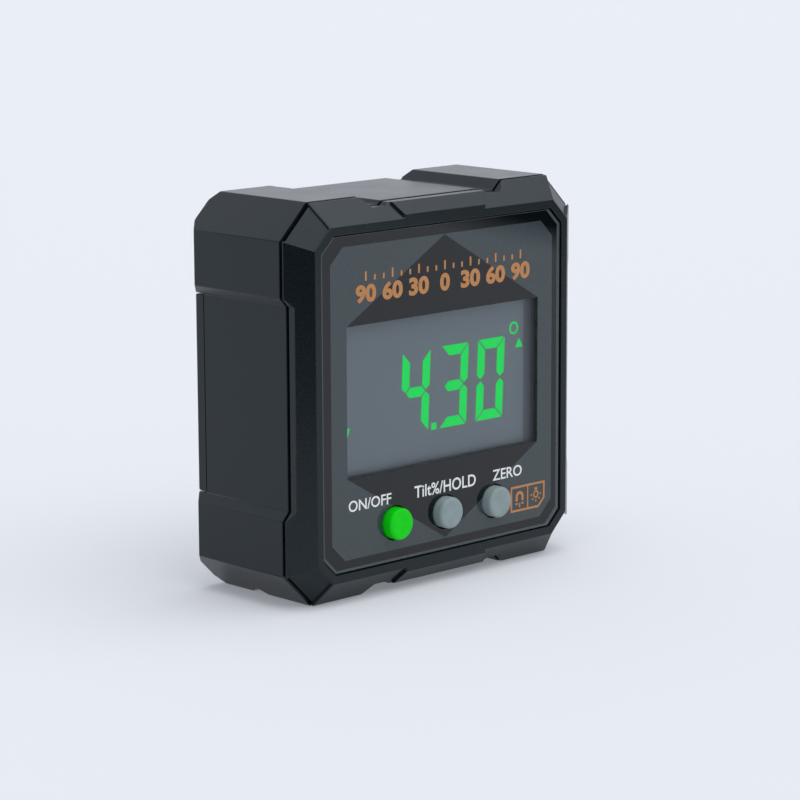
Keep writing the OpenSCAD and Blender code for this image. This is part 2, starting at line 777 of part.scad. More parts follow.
// Magnets in the feet, on both sides of the groove
magnets = [
    [-magnet_x, groove_mid - magnet_front], [magnet_x, groove_mid - magnet_front],
    [-magnet_x, groove_mid + magnet_rear], [magnet_x, groove_mid + magnet_rear]
];
module magnet(i) {
    place = magnets[i];
    color([0.72, 0.73, 0.75]) translate([place[0], place[1], magnet_sunk])
        cylinder(h = magnet_t, d = magnet_d);
}
module magnet_front_left() { magnet(0); }
module magnet_front_right() { magnet(1); }
module magnet_rear_left() { magnet(2); }
module magnet_rear_right() { magnet(3); }

// Screw along the depth: shank forward of its seat, head behind it with a cross slot
module screw(shank_d, shank_l, head_d, head_h, y) {
    slot = head_d / 5;
    difference() {
        union() {
            bar_y(0, 0, shank_d / 2, y - shank_l, y + touch);
            bar_y(0, 0, head_d / 2, y, y + head_h);
        }
        for (turn = [0, 90]) rotate([0, turn, 0])
            translate([-head_d / 3, y + head_h / 2, -slot / 2]) cube([2 * head_d / 3, head_h, slot]);
    }
}
module case_screws() {
    color([0.55, 0.55, 0.57]) at_corners(screw_x, screw_z)
        screw(screw_d, screw_seat + screw_grip - play, screw_head_d, screw_head_h, y_head);
}
module board_screws() {
    color([0.55, 0.55, 0.57]) at_corners(board_screw_x, board_screw_z)
        screw(board_screw_d, board_t + board_screw_grip, board_head_d, board_head_h, y_board_back);
}

front_cover();
rear_case();
battery_door();
lens_panel();
lens_tape();
power_button();
hold_button();
zero_button();
power_plunger();
hold_plunger();
zero_plunger();
power_switch();
hold_switch();
zero_switch();
circuit_board();
controller_chip();
tilt_sensor();
timing_crystal();
board_parts();
lcd_glass();
lcd_backlight();
lcd_frame();
lcd_connector();
battery_upper();
battery_lower();
negative_plate();
negative_spring();
positive_plate();
bridge_plate();
bridge_spring();
magnet_front_left();
magnet_front_right();
magnet_rear_left();
magnet_rear_right();
case_screws();
board_screws();
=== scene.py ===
"""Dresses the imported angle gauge: shells, printed panel, lit display, keys and cells, in a plain studio.

The classes hold their sizes in millimetres in the frame of the part: X to the right, Y to the rear, Z up,
with the feet on Z = 0. A mesh gets metres when it is made.
"""

import logging
import math
from collections.abc import Callable, Sequence
from dataclasses import dataclass, field
from enum import Enum

import bmesh
import bpy
from bpy.types import Material, Mesh, Node, NodeSocket, NodeTree, Object
from mathutils import Matrix, Vector
from mathutils.geometry import tessellate_polygon


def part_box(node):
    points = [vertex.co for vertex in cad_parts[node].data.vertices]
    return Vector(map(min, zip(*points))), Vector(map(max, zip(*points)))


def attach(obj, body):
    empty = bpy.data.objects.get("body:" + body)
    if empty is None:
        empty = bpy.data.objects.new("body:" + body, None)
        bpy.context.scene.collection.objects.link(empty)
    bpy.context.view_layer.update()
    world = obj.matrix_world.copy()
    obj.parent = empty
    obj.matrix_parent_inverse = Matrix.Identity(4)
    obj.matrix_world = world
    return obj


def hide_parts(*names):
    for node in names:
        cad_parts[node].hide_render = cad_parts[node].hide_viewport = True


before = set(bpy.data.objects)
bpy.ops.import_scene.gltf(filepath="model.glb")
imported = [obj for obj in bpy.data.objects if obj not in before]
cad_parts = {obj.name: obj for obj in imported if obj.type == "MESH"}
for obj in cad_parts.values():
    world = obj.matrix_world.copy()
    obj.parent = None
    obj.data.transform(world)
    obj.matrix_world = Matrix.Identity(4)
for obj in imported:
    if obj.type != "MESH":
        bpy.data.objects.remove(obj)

LOG = logging.getLogger("angle_gauge")
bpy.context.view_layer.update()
MM = 0.001
HOUSING = "housing"
KEY_NAMES = ("power", "hold", "zero")
# Black of the two cards seen in reflections only: painted dark reflections
REFLECTION_CARD_BLACK = "#0a0b0c"

# Shaping of meshes: the shortest edge and the radius of a pole in millimetres, the welds in metres
SHORTEST_EDGE = 0.08
NODE_WELD = 1e-6
WORD_WELD = 1e-7
POLE_RADIUS = 1e-6
FLAT_SPREAD = math.radians(0.5)
FACET_SPREAD = math.radians(12.0)
LEAST_CORNER = math.radians(20.0)
LATHE_CORNER = math.radians(35.0)
ROUND_SPREAD = math.radians(60.0)

# Gloss: the noise levels that it spreads over, and the smoothest it gets
GLOSS_SPAN = (0.3, 0.7)
LEAST_ROUGHNESS = 0.01

Point = tuple[float, float]
Triple = tuple[float, float, float]
Edges = tuple[float, float, float, float]
Outline = Sequence[Point]
Region = tuple[Outline, list[Outline]]
Box = tuple[Vector, Vector]
Word = tuple[str, Point, Point]
Placer = Callable[[float, float, float], Vector]


class Slot(Enum):
    """Material slots of the record."""

    CASE = "case_plastic"
    PANEL = "clear_acrylic"
    GREEN_KEY = "green_key"
    GREY_KEY = "grey_key"
    DISPLAY = "display_glass"
    CELL = "cell_jacket"
    CONTACT = "contact_nickel"
    MAGNET = "magnet_nickel"


class Segment(Enum):
    """The seven bars of a display digit."""

    TOP = "a"
    UPPER_RIGHT = "b"
    LOWER_RIGHT = "c"
    BOTTOM = "d"
    LOWER_LEFT = "e"
    UPPER_LEFT = "f"
    MIDDLE = "g"


DIGIT_BARS = {"0": "abcdef", "3": "abgcd", "4": "fgbc"}


def linear(hex_colour: str) -> tuple[float, float, float, float]:
    """Turns an sRGB hex colour into linear light.

    Args:
        hex_colour: six hex digits after a hash sign.

    Returns:
        Red, green, blue and an alpha of one.
    """
    parts = [int(hex_colour[i : i + 2], 16) / 255 for i in (1, 3, 5)]
    red, green, blue = (c / 12.92 if c <= 0.04045 else ((c + 0.055) / 1.055) ** 2.4 for c in parts)
    return red, green, blue, 1.0


def feed(tree: NodeTree, node: Node, inputs: dict) -> None:
    """Sets or links inputs of a node.

    Args:
        tree: the tree that the node is in.
        node: the node.
        inputs: a value or an output socket for each input, by the input's name or number.
    """
    for key, value in inputs.items():
        if isinstance(value, NodeSocket):
            tree.links.new(value, node.inputs[key])
        else:
            node.inputs[key].default_value = value


def add_node(tree: NodeTree, kind: str, inputs: dict | None = None, **settings: object) -> Node:
    """Adds a node with its settings, input values and links.

    Args:
        tree: the tree that the node goes into.
        kind: Blender's type name of the node.
        inputs: a value or an output socket for each input.
        settings: attributes of the node.

    Returns:
        The new node.
    """
    node = tree.nodes.new(kind)
    for name, value in settings.items():
        setattr(node, name, value)
    feed(tree, node, inputs or {})
    return node


def seen_rays(tree: NodeTree) -> NodeSocket:
    """Tells the rays that make the picture from those that light the object.

    Args:
        tree: the tree of a world or of a material on the stage.

    Returns:
        A socket that is one for camera, glossy and transmission rays.
    """
    rays = add_node(tree, "ShaderNodeLightPath").outputs
    seen = rays["Is Camera Ray"]
    for name in ("Is Glossy Ray", "Is Transmission Ray"):
        seen = add_node(tree, "ShaderNodeMath", {0: seen, 1: rays[name]}, operation="MAXIMUM").outputs[0]
    return seen


@dataclass(frozen=True)
class Skin:
    """The surface of a material while its finish is laid on; sizes are in millimetres."""

    tree: NodeTree
    shader: Node
    place: NodeSocket
    colour: str
    roughness: float

    def add(self, kind: str, inputs: dict | None = None, **settings: object) -> Node:
        """Adds a node to the material."""
        return add_node(self.tree, kind, inputs, **settings)

    def set(self, inputs: dict) -> None:
        """Sets or links inputs of the surface shader."""
        feed(self.tree, self.shader, inputs)

    def mix(self, share: NodeSocket, other: str) -> None:
        """Lets the colour go over into another, by a share from zero to one."""
        tones = {"Factor": share, 6: linear(self.colour), 7: linear(other)}
        self.set({"Base Color": self.add("ShaderNodeMix", tones, data_type="RGBA").outputs[2]})

    def vary_gloss(self, size: float, wander: float) -> None:
        """Lets the roughness change a little, as handling and moulding leave it.

        Args:
            size: size of the patches.
            wander: how far the roughness goes up and down.
        """
        patches = {"Vector": self.place, "Scale": 1 / (size * MM), "Detail": 3.0}
        spread = {
            "Value": self.add("ShaderNodeTexNoise", patches).outputs["Fac"],
            "From Min": GLOSS_SPAN[0],
            "From Max": GLOSS_SPAN[1],
            "To Min": max(LEAST_ROUGHNESS, self.roughness - wander),
            "To Max": min(1.0, self.roughness + wander),
        }
        self.set({"Roughness": self.add("ShaderNodeMapRange", spread).outputs["Result"]})

    def vary_tone(self, size: float, other: str, span: Point) -> None:
        """Mottles the colour between the finish's own and another.

        Args:
            size: size of the patches.
            other: the second colour.
            span: noise levels at which the first colour ends and the second is full.
        """
        patches = {"Vector": self.place, "Scale": 1 / (size * MM), "Detail": 4.0}
        noise = self.add("ShaderNodeTexNoise", patches).outputs["Fac"]
        spread = {"Value": noise, "From Min": span[0], "From Max": span[1]}
        self.mix(self.add("ShaderNodeMapRange", spread).outputs["Result"], other)

    def grain(self, size: float, depth: float, stretch: Triple) -> None:
        """Gives the surface a fine relief.

        Args:
            size: size of the grain.
            depth: height of the grain.
            stretch: scale along each axis; a grain is drawn out where it is below one.
        """
        place = self.add("ShaderNodeMapping", {"Vector": self.place, "Scale": stretch}).outputs["Vector"]
        noise = self.add("ShaderNodeTexNoise", {"Vector": place, "Scale": 1 / (size * MM), "Detail": 2.0})
        relief = {"Height": noise.outputs["Fac"], "Distance": depth * MM, "Strength": 1.0}
        self.set({"Normal": self.add("ShaderNodeBump", relief).outputs["Normal"]})


@dataclass(frozen=True)
class Finish:
    """A finish: its colour, the values that are the same all over, and what varies over the surface.

    In millimetres, patch is the size of the changes of gloss, mottle that of the changes to the second
    colour, and grain_size and grain_depth are those of the relief. An empty second colour or a depth of zero
    is left out.
    """

    name: str
    colour: str
    roughness: float = 0.5
    metallic: float = 0.0
    ior: float = 1.5
    patch: float = 4.0
    wander: float = 0.05
    second: str = ""
    mottle: float = 1.0
    span: Point = (0.35, 0.65)
    grain_size: float = 0.3
    grain_depth: float = 0.0
    stretch: Triple = (1.0, 1.0, 1.0)

    def material(self) -> Material:
        """Builds the material once.

        Returns:
            The material.
        """
        found = bpy.data.materials.get(self.name)
        if found:
            return found
        made = bpy.data.materials.new(self.name)
        made.use_nodes = True
        tree = made.node_tree
        tree.nodes.clear()
        values = {
            "Base Color": linear(self.colour),
            "Roughness": self.roughness,
            "Metallic": self.metallic,
            "IOR": self.ior,
        }
        shader = add_node(tree, "ShaderNodeBsdfPrincipled", values)
        place = add_node(tree, "ShaderNodeTexCoord").outputs["Object"]
        self.pattern(Skin(tree, shader, place, self.colour, self.roughness))
        add_node(tree, "ShaderNodeOutputMaterial", {"Surface": shader.outputs["BSDF"]})
        made.diffuse_color = linear(self.colour)
        return made

    def pattern(self, skin: Skin) -> None:
        """Adds what varies over the surface.

        Args:
            skin: the surface.
        """
        skin.vary_gloss(self.patch, self.wander)
        if self.second:
            skin.vary_tone(self.mottle, self.second, self.span)
        if self.grain_depth:
            skin.grain(self.grain_size, self.grain_depth, self.stretch)


@dataclass(frozen=True)
class SparkErodedPlastic(Finish):
    """Moulded ABS from a spark-eroded tool: a dull, even, cool sheen broken by a fine sandy relief.

    The real grain is about 0.1 mm, too fine for the picture, so it is drawn coarser.
    """

    patch: float = 6.0
    wander: float = 0.015
    second: str = "#151f24"
    mottle: float = 0.3
    span: Point = (0.5, 0.72)
    grain_depth: float = 0.01
    sheen: str = "#edfbff"

    def pattern(self, skin: Skin) -> None:
        """Adds the tone of the sheen to the grain."""
        super().pattern(skin)
        skin.set({"Specular Tint": linear(self.sheen)})


@dataclass(frozen=True)
class PolishedAcrylic(Finish):
    """Clear cast acrylic sheet, cut and edge-polished: clean faces, bright edges and a faint haze.

    Its hard coat takes most of the mirror away, which the low IOR stands for.
    """

    patch: float = 9.0
    wander: float = 0.01

    def pattern(self, skin: Skin) -> None:
        """Lets light through."""
        super().pattern(skin)
        skin.set({"Transmission Weight": 1.0})


@dataclass(frozen=True)
class GlossInk(Finish):
    """Screen ink under a clear hard coat: the mesh mottle of the print below an even mirror gloss."""

    patch: float = 8.0
    wander: float = 0.01
    mottle: float = 0.5


@dataclass(frozen=True)
class LitInk(Finish):
    """Display segments lit from behind through a green filter: an even glow, without gloss in the glass."""

    patch: float = 3.0
    wander: float = 0.04
    glow: float = 1.0
    unlit: str = "#02481a"

    def pattern(self, skin: Skin) -> None:
        """Adds the glow of the light guide.

        Args:
            skin: the surface.
        """
        super().pattern(skin)
        skin.set({"Base Color": linear(self.unlit), "Specular IOR Level": 0.0})
        skin.set({"Emission Color": linear(self.colour), "Emission Strength": self.glow})


@dataclass(frozen=True)
class PolarisingFilm(Finish):
    """Stretched polarising film on the display glass: a satin slate grey with a very fine haze."""

    patch: float = 5.0
    wander: float = 0.03
    mottle: float = 0.7


@dataclass(frozen=True)
class KeyPlastic(Finish):
    """Moulded key cap: through-coloured plastic with a soft satin skin and faint wear in its tone."""

    patch: float = 2.0
    mottle: float = 1.5
    grain_depth: float = 0.003


@dataclass(frozen=True)
class PlatedMetal(Finish):
    """Plated steel: a bright, slightly cloudy metal with rolling marks drawn out along one direction."""

    metallic: float = 1.0
    patch: float = 2.5
    wander: float = 0.08
    grain_size: float = 0.25
    grain_depth: float = 0.002
    stretch: Triple = (0.15, 1.0, 1.0)


@dataclass(frozen=True)
class CellSleeve(Finish):
    """Printed film shrunk over a cell's can: glossy dark film with a warm band at the positive end."""

    patch: float = 3.0
    band: str = "#b98a4a"
    band_edge: float = 10.0
    band_blur: float = 0.2
    side: int = 1

    def pattern(self, skin: Skin) -> None:
        """Paints the band by the place along the cell.

        Args:
            skin: the surface.
        """
        super().pattern(skin)
        along = skin.add("ShaderNodeSeparateXYZ", {"Vector": skin.place}).outputs["X"]
        past = skin.add("ShaderNodeMath", {0: along, 1: self.side / MM}, operation="MULTIPLY").outputs[0]
        edge = {"Value": past, "From Min": self.band_edge, "From Max": self.band_edge + self.band_blur}
        skin.mix(skin.add("ShaderNodeMapRange", edge).outputs["Result"], self.band)


@dataclass(frozen=True)
class SolderMask(Finish):
    """Green solder mask over copper on glass-fibre board: glossy lacquer with the weave showing faintly."""

    patch: float = 3.0
    second: str = "#0c4a24"
    mottle: float = 2.0
    grain_size: float = 0.5
    grain_depth: float = 0.004


@dataclass(frozen=True)
class StudioPaper(Finish):
    """Pale matt background paper: even and soft, with light shadows where the sheet glows through."""

    glow: str = "#e6eaf2"
    share: float = 0.24

    def pattern(self, skin: Skin) -> None:
        """Gives a share of the paper in the picture its own pale tone, and keeps the light on the object.

        Args:
            skin: the surface.
        """
        rays = {0: seen_rays(skin.tree), 1: self.share}
        part = skin.add("ShaderNodeMath", rays, operation="MULTIPLY").outputs[0]
        skin.mix(part, "#000000")
        skin.set({"Emission Color": linear(self.glow), "Emission Strength": part})


@dataclass(frozen=True)
class FadingCloth(Finish):
    """Black card on a far frame, seen in reflections only: a painted dark reflection with a soft edge, which
    fades out to the left and below.
    """

    full: Point = (183.0, 20.5)
    fade: Point = (24.0, 6.0)

    def pattern(self, skin: Skin) -> None:
        """Fades the painted dark reflection out by its place across and up.

        Args:
            skin: the surface.
        """
        across, up = self.fade
        rate = {0: skin.place, 1: (1 / (across * MM), 0.0, 1 / (up * MM))}
        along = skin.add("ShaderNodeVectorMath", rate, operation="DOT_PRODUCT").outputs["Value"]
        level = self.full[0] / across + self.full[1] / up
        edge = {"Value": along, "From Min": level - 1, "From Max": level}
        skin.set({"Alpha": skin.add("ShaderNodeMapRange", edge).outputs["Result"]})


CASE_ABS = SparkErodedPlastic("spark_eroded_black_abs", "#0f161a", 0.26, ior=1.4)
BLACK_MOULDING = SparkErodedPlastic("black_moulding", "#101112", 0.5, ior=1.53)
FOAM_TAPE = SparkErodedPlastic("black_foam_tape", "#0b0b0b", 0.8, grain_depth=0.02)
ACRYLIC = PolishedAcrylic("coated_clear_acrylic", "#ffffff", 0.02, ior=1.24)
BLACK_INK = GlossInk("black_gloss_ink", "#070d0f", 0.03, ior=1.46, second="#0a1113")
FIELD_INK = GlossInk("slate_gloss_ink", "#3a4548", 0.03, ior=1.49, second="#3e494c")
WHITE_INK = GlossInk("white_gloss_ink", "#fbfcfd", 0.03, ior=1.49, second="#f4f6f8")
ORANGE_INK = GlossInk("orange_gloss_ink", "#c98a4e", 0.03, ior=1.49, second="#bf8046")
# A lighter grey band printed round the panel's front: painted highlight of light caught in the clear edge
EDGE_HIGHLIGHT_INK = GlossInk("painted_edge_highlight", "#3f4a4c", 0.2, ior=1.49, second="#485355")
FILM = PolarisingFilm("slate_polarising_film", "#647179", 0.35, second="#637078")
# A darker band round the display film, widest at the right; the display glass takes the same tone
DARK_DISPLAY_BAND = PolarisingFilm("darker_display_band", "#525b63", 0.35, second="#4e575f")
LIT_GREEN = LitInk("lit_green_segments", "#02cc50", 0.4)
GREEN_CAP = KeyPlastic("green_moulded_key", "#03e80e", 0.45, ior=1.3, second="#03de0c")
GREY_CAP = KeyPlastic("grey_moulded_key", "#99a9a9", 0.5, ior=1.4, second="#90a0a0", grain_depth=0.006)
CERAMIC = KeyPlastic("sintered_ceramic", "#8a6a47", 0.5, second="#7d5f3e")
LIGHT_GUIDE = KeyPlastic("milky_light_guide", "#d8e6d8", 0.25, second="#cfdccf")
LAYERED_RUBBER = KeyPlastic("layered_contact_rubber", "#b0505e", 0.7, second="#a04654")
NICKEL = PlatedMetal("nickel_plated_steel", "#c9c5bb", 0.28)
ZINC = PlatedMetal("zinc_plated_steel", "#9a9b9e", 0.35)
MAGNET_NICKEL = PlatedMetal("nickel_plated_magnet", "#c6c6c8", 0.18, stretch=(1.0, 1.0, 1.0))
CAN_STEEL = PlatedMetal("cell_can_steel", "#bdbcb8", 0.3)
BOARD_GREEN = SolderMask("green_solder_mask", "#0f5a2c", 0.3)


def node_box(node: str) -> Box:
    """Lower and upper corner of a node's box in millimetres."""
    low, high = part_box(node)
    return low / MM, high / MM


def side_distance(box: Box, point: Vector) -> float:
    """Distance from a point in a box to the nearest of its four sides in the front view."""
    low, high = box
    return min(point.x - low.x, high.x - point.x, point.z - low.z, high.z - point.z)


def rectangle(x0: float, x1: float, z0: float, z1: float) -> Outline:
    """Outline of a rectangle by its edges."""
    return [(x0, z0), (x1, z0), (x1, z1), (x0, z1)]


def octagon(left: float, right: float, low: float, high: float, leg: float) -> Outline:
    """Outline of a rectangle with its corners cut off.

    Args:
        left: left edge.
        right: right edge.
        low: lower edge.
        high: upper edge.
        leg: leg of the corner cuts.

    Returns:
        The eight corners, turning left.
    """
    return [
        (left + leg, low), (right - leg, low), (right, low + leg), (right, high - leg),
        (right - leg, high), (left + leg, high), (left, high - leg), (left, low + leg),
    ]


def around(x: float, z: float, radius: float, turn: float) -> Point:
    """Point at a distance from a middle, turned from the right towards the top."""
    return x + radius * math.cos(turn), z + radius * math.sin(turn)


def circle(x: float, z: float, radius: float, steps: int = 48) -> Outline:
    """Outline of a circle by its middle and radius."""
    return [around(x, z, radius, 2 * math.pi * i / steps) for i in range(steps)]


def stroke(points: Outline, width: float, closed: bool = False) -> Region:
    """Turns a drawn line into a band with mitred corners.

    Args:
        points: the line's points.
        width: width of the band.
        closed: whether the last point joins the first.

    Returns:
        The band's outline, with its inside as a hole where the line is closed.
    """
    count = len(points)
    left: list[Point] = []
    right: list[Point] = []
    for i, (x, z) in enumerate(points):
        spans = []
        for a, b in ((i - 1, i), (i, i + 1)):
            if not closed and (a < 0 or b >= count):
                continue
            run = Vector(points[b % count]) - Vector(points[a % count])
            spans.append(Vector((-run.y, run.x)).normalized())
        normal = spans[0] if len(spans) == 1 else (spans[0] + spans[1]) / (1 + spans[0].dot(spans[1]))
        left.append((x + normal.x * width / 2, z + normal.y * width / 2))
        right.append((x - normal.x * width / 2, z - normal.y * width / 2))
    if closed:
        return right, [left]
    return left + right[::-1], []


def new_piece(name: str, mesh: Mesh, finish: Finish | None) -> Object:
    """Links a mesh into the scene as a piece.

    Args:
        name: name of the piece.
        mesh: its mesh, in metres and in place.
        finish: the finish that it gets, if its mesh has none yet.

    Returns:
        The new object.
    """
    mesh.name = name
    piece = bpy.data.objects.new(name, mesh)
    bpy.context.scene.collection.objects.link(piece)
    if finish:
        mesh.materials.clear()
        mesh.materials.append(finish.material())
    return piece


def add_piece(name: str, mesh: Mesh, finish: Finish | None = None, body: str = HOUSING,
              stands_for: Sequence[str] = ()) -> None:
    """Makes a piece that rides on its body and stands for its nodes, and reports it.

    Args:
        name: name of the piece.
        mesh: its mesh, in metres and in place.
        finish: the finish that it gets, if its mesh has none yet.
        body: the body that carries it.
        stands_for: the nodes that it replaces.
    """
    piece = new_piece(name, mesh, finish)
    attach(piece, body)
    if stands_for:
        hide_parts(*stands_for)
    LOG.info("%s: %d faces on %s", name, len(mesh.polygons), body)


def finished(made: bmesh.types.BMesh, name: str) -> Mesh:
    """Turns a drawn shape into a mesh.

    Args:
        made: the shape, which is freed.
        name: name of the mesh.

    Returns:
        The mesh.
    """
    mesh = bpy.data.meshes.new(name)
    made.to_mesh(mesh)
    made.free()
    return mesh


def sheet_mesh(name: str, regions: Sequence[Region], front: float, depth: float) -> Mesh:
    """Makes thin closed plates from outlines in the front view.

    Args:
        name: name of the mesh.
        regions: outlines with their holes, in millimetres.
        front: Y of the front faces.
        depth: thickness of the plates.

    Returns:
        The mesh.
    """
    made = bmesh.new()
    for outline, holes in regions:
        loops = [outline, *holes]
        flat = [[Vector((x, z, 0)) for x, z in loop] for loop in loops]
        places = [point for loop in loops for point in loop]
        near = [made.verts.new((x * MM, front * MM, z * MM)) for x, z in places]
        far = [made.verts.new((x * MM, (front + depth) * MM, z * MM)) for x, z in places]
        for a, b, c in tessellate_polygon(flat):
            made.faces.new((near[a], near[b], near[c]))
            made.faces.new((far[c], far[b], far[a]))
        start = 0
        for loop in loops:
            for i in range(len(loop)):
                a, b = start + i, start + (i + 1) % len(loop)
                made.faces.new((near[a], near[b], far[b], far[a]))
            start += len(loop)
    bmesh.ops.recalc_face_normals(made, faces=made.faces)
    return finished(made, name)


def evaluated_mesh(holder: Object) -> Mesh:
    """Makes a plain mesh of an object's final shape.

    Args:
        holder: the object, not yet in the scene, which is removed.

    Returns:
        The mesh.
    """
    bpy.context.scene.collection.objects.link(holder)
    bpy.context.view_layer.update()
    mesh = bpy.data.meshes.new_from_object(holder.evaluated_get(bpy.context.evaluated_depsgraph_get()))
    bpy.data.objects.remove(holder)
    return mesh


def letter_mesh(text: str, weight: float) -> Mesh:
    """Makes a word in the plain face, one unit thick about its middle plane.

    Args:
        text: what it reads.
        weight: how much bolder than the plain face, as a share of the letter size.

    Returns:
        The mesh, lying flat at the letters' own size.
    """
    curve = bpy.data.curves.new("word", "FONT")
    curve.body = text
    curve.offset = weight
    curve.resolution_u = 4
    curve.extrude = 0.5
    mesh = evaluated_mesh(bpy.data.objects.new("word", curve))
    bpy.data.curves.remove(curve)
    return mesh


def words_mesh(name: str, words: Sequence[Word], front: float, depth: float, weight: float) -> Mesh:
    """Makes printed words that each fill a box in the front view.

    Args:
        name: name of the mesh.
        words: what each reads, its left and right edge and its lower and upper edge in millimetres.
        front: Y of the front faces.
        depth: thickness of the letters.
        weight: how much bolder than the plain face.

    Returns:
        The mesh, in place.
    """
    made = bmesh.new()
    for text, span, rise in words:
        mesh = letter_mesh(text, weight)
        low_x, high_x = (pick(v.co.x for v in mesh.vertices) for pick in (min, max))
        low_y, high_y = (pick(v.co.y for v in mesh.vertices) for pick in (min, max))
        wide = (span[1] - span[0]) / (high_x - low_x)
        high = (rise[1] - rise[0]) / (high_y - low_y)
        for v in mesh.vertices:
            x, y, z = v.co
            across, up = span[0] + (x - low_x) * wide, rise[0] + (y - low_y) * high
            v.co = (across * MM, (front + (0.5 - z) * depth) * MM, up * MM)
        made.from_mesh(mesh)
        bpy.data.meshes.remove(mesh)
    bmesh.ops.remove_doubles(made, verts=made.verts, dist=WORD_WELD)
    bmesh.ops.recalc_face_normals(made, faces=made.faces)
    return finished(made, name)


def lathe_mesh(name: str, profile: Sequence[Point], place: Placer, steps: int = 64) -> Mesh:
    """Turns a profile about an axis.

    Args:
        name: name of the mesh.
        profile: radius and distance along the axis, from pole to pole.
        place: puts a point, given across, up and along, into the part's frame in millimetres.
        steps: steps around the axis.

    Returns:
        The closed mesh, shaded smooth.
    """
    made = bmesh.new()
    turns = [2 * math.pi * i / steps for i in range(steps)]
    rings: list[list[bmesh.types.BMVert]] = []
    for radius, along in profile:
        if radius < POLE_RADIUS:
            rings.append([made.verts.new(place(0, 0, along) * MM)])
            continue
        rings.append([made.verts.new(place(*around(0, 0, radius, turn), along) * MM) for turn in turns])
    for first, second in zip(rings, rings[1:]):
        for i in range(steps):
            j = (i + 1) % steps
            corners = [
                first[i % len(first)], first[j % len(first)],
                second[j % len(second)], second[i % len(second)],
            ]
            made.faces.new(list(dict.fromkeys(corners)))
    bmesh.ops.recalc_face_normals(made, faces=made.faces)
    mesh = finished(made, name)
    mesh.shade_smooth()
    mesh.set_sharp_from_angle(angle=LATHE_CORNER)
    return mesh


def corner_normal(loop: bmesh.types.BMLoop, rounded: bmesh.types.BMLayerItem) -> Vector:
    """Normal of a face's corner, so that flat faces stay flat and a rounding runs into them.

    Args:
        loop: the corner.
        rounded: the layer that marks the faces of a rounding.

    Returns:
        The normal, of length one.
    """
    own = loop.face
    flats = [face for face in loop.vert.link_faces if not face[rounded]]
    if own[rounded] and not flats:
        return loop.vert.normal.copy()
    widest = ROUND_SPREAD if own[rounded] else FACET_SPREAD
    near = [face for face in flats if face is own or face.normal.angle(own.normal, math.pi) < widest]
    total = sum((face.normal * face.calc_area() for face in near), Vector())
    return total.normalized() if total.length else own.normal.copy()


def softened_mesh(node: str, radius: float, wanted: Callable[[Vector], bool]) -> Mesh:
    """Copies a node's mesh and rounds the edges that show, as a mould leaves them.

    Args:
        node: name of the node.
        radius: width of the rounding in millimetres.
        wanted: tells by an edge's middle, in millimetres, whether the edge shows.

    Returns:
        The rounded mesh.
    """
    made = bmesh.new()
    made.from_mesh(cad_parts[node].data)
    rounded = made.faces.layers.int.new("rounded")
    bmesh.ops.remove_doubles(made, verts=made.verts, dist=NODE_WELD)
    bmesh.ops.dissolve_limit(made, angle_limit=FLAT_SPREAD, verts=made.verts, edges=made.edges)
    bmesh.ops.dissolve_degenerate(made, dist=SHORTEST_EDGE * MM, edges=made.edges)
    edges = [
        edge for edge in made.edges
        if edge.is_manifold
        and edge.calc_face_angle(0.0) > LEAST_CORNER
        and wanted((edge.verts[0].co + edge.verts[1].co) / (2 * MM))
    ]
    result = bmesh.ops.bevel(made, geom=edges, offset=radius * MM, offset_type="OFFSET", segments=2,
                             profile=0.5, affect="EDGES", clamp_overlap=False, loop_slide=True)
    for face in result["faces"]:
        face[rounded] = 1
    bmesh.ops.triangulate(made, faces=[face for face in made.faces if len(face.verts) > 4])
    made.normal_update()
    normals = [corner_normal(loop, rounded) for face in made.faces for loop in face.loops]
    mesh = finished(made, node)
    mesh.attributes.remove(mesh.attributes["rounded"])
    mesh.shade_smooth()
    mesh.normals_split_custom_set(normals)
    return mesh


class NodeShape:
    """A shape from a node tree: named inputs, a result that is made real, and one finish."""

    def __init__(self, name: str) -> None:
        """Starts a tree with its finish input and its result."""
        self.tree = bpy.data.node_groups.new(name, "GeometryNodeTree")
        self.tree.interface.new_socket("Geometry", in_out="OUTPUT", socket_type="NodeSocketGeometry")
        self.values: dict[str, object] = {}
        self.inlet = self.tree.nodes.new("NodeGroupInput")
        self.finish = self.size("Finish", None, "NodeSocketMaterial")

    def size(self, name: str, value: object, kind: str = "NodeSocketFloat") -> NodeSocket:
        """Adds a named input.

        Args:
            name: name of the input.
            value: what it is set to.
            kind: Blender's type name of the socket.

        Returns:
            The socket that gives the value inside the tree.
        """
        made = self.tree.interface.new_socket(name, in_out="INPUT", socket_type=kind)
        self.values[made.identifier] = value
        return self.inlet.outputs[name]

    def add(self, kind: str, inputs: dict | None = None, **settings: object) -> Node:
        """Adds a node to the tree."""
        return add_node(self.tree, kind, inputs, **settings)

    def mesh(self, shape: NodeSocket, finish: Finish) -> Mesh:
        """Ends the tree and evaluates it.

        Args:
            shape: the geometry to give out.
            finish: the finish of the whole shape.

        Returns:
            A plain mesh.
        """
        real = self.add("GeometryNodeRealizeInstances", {"Geometry": shape}).outputs["Geometry"]
        dressed = self.add("GeometryNodeSetMaterial", {"Geometry": real, "Material": self.finish})
        self.add("NodeGroupOutput", {0: dressed.outputs["Geometry"]})
        holder = bpy.data.objects.new("holder", bpy.data.meshes.new("holder"))
        modifier = holder.modifiers.new("shape", "NODES")
        modifier.node_group = self.tree
        for identifier, value in self.values.items():
            modifier[identifier] = finish.material() if value is None else value
        return evaluated_mesh(holder)


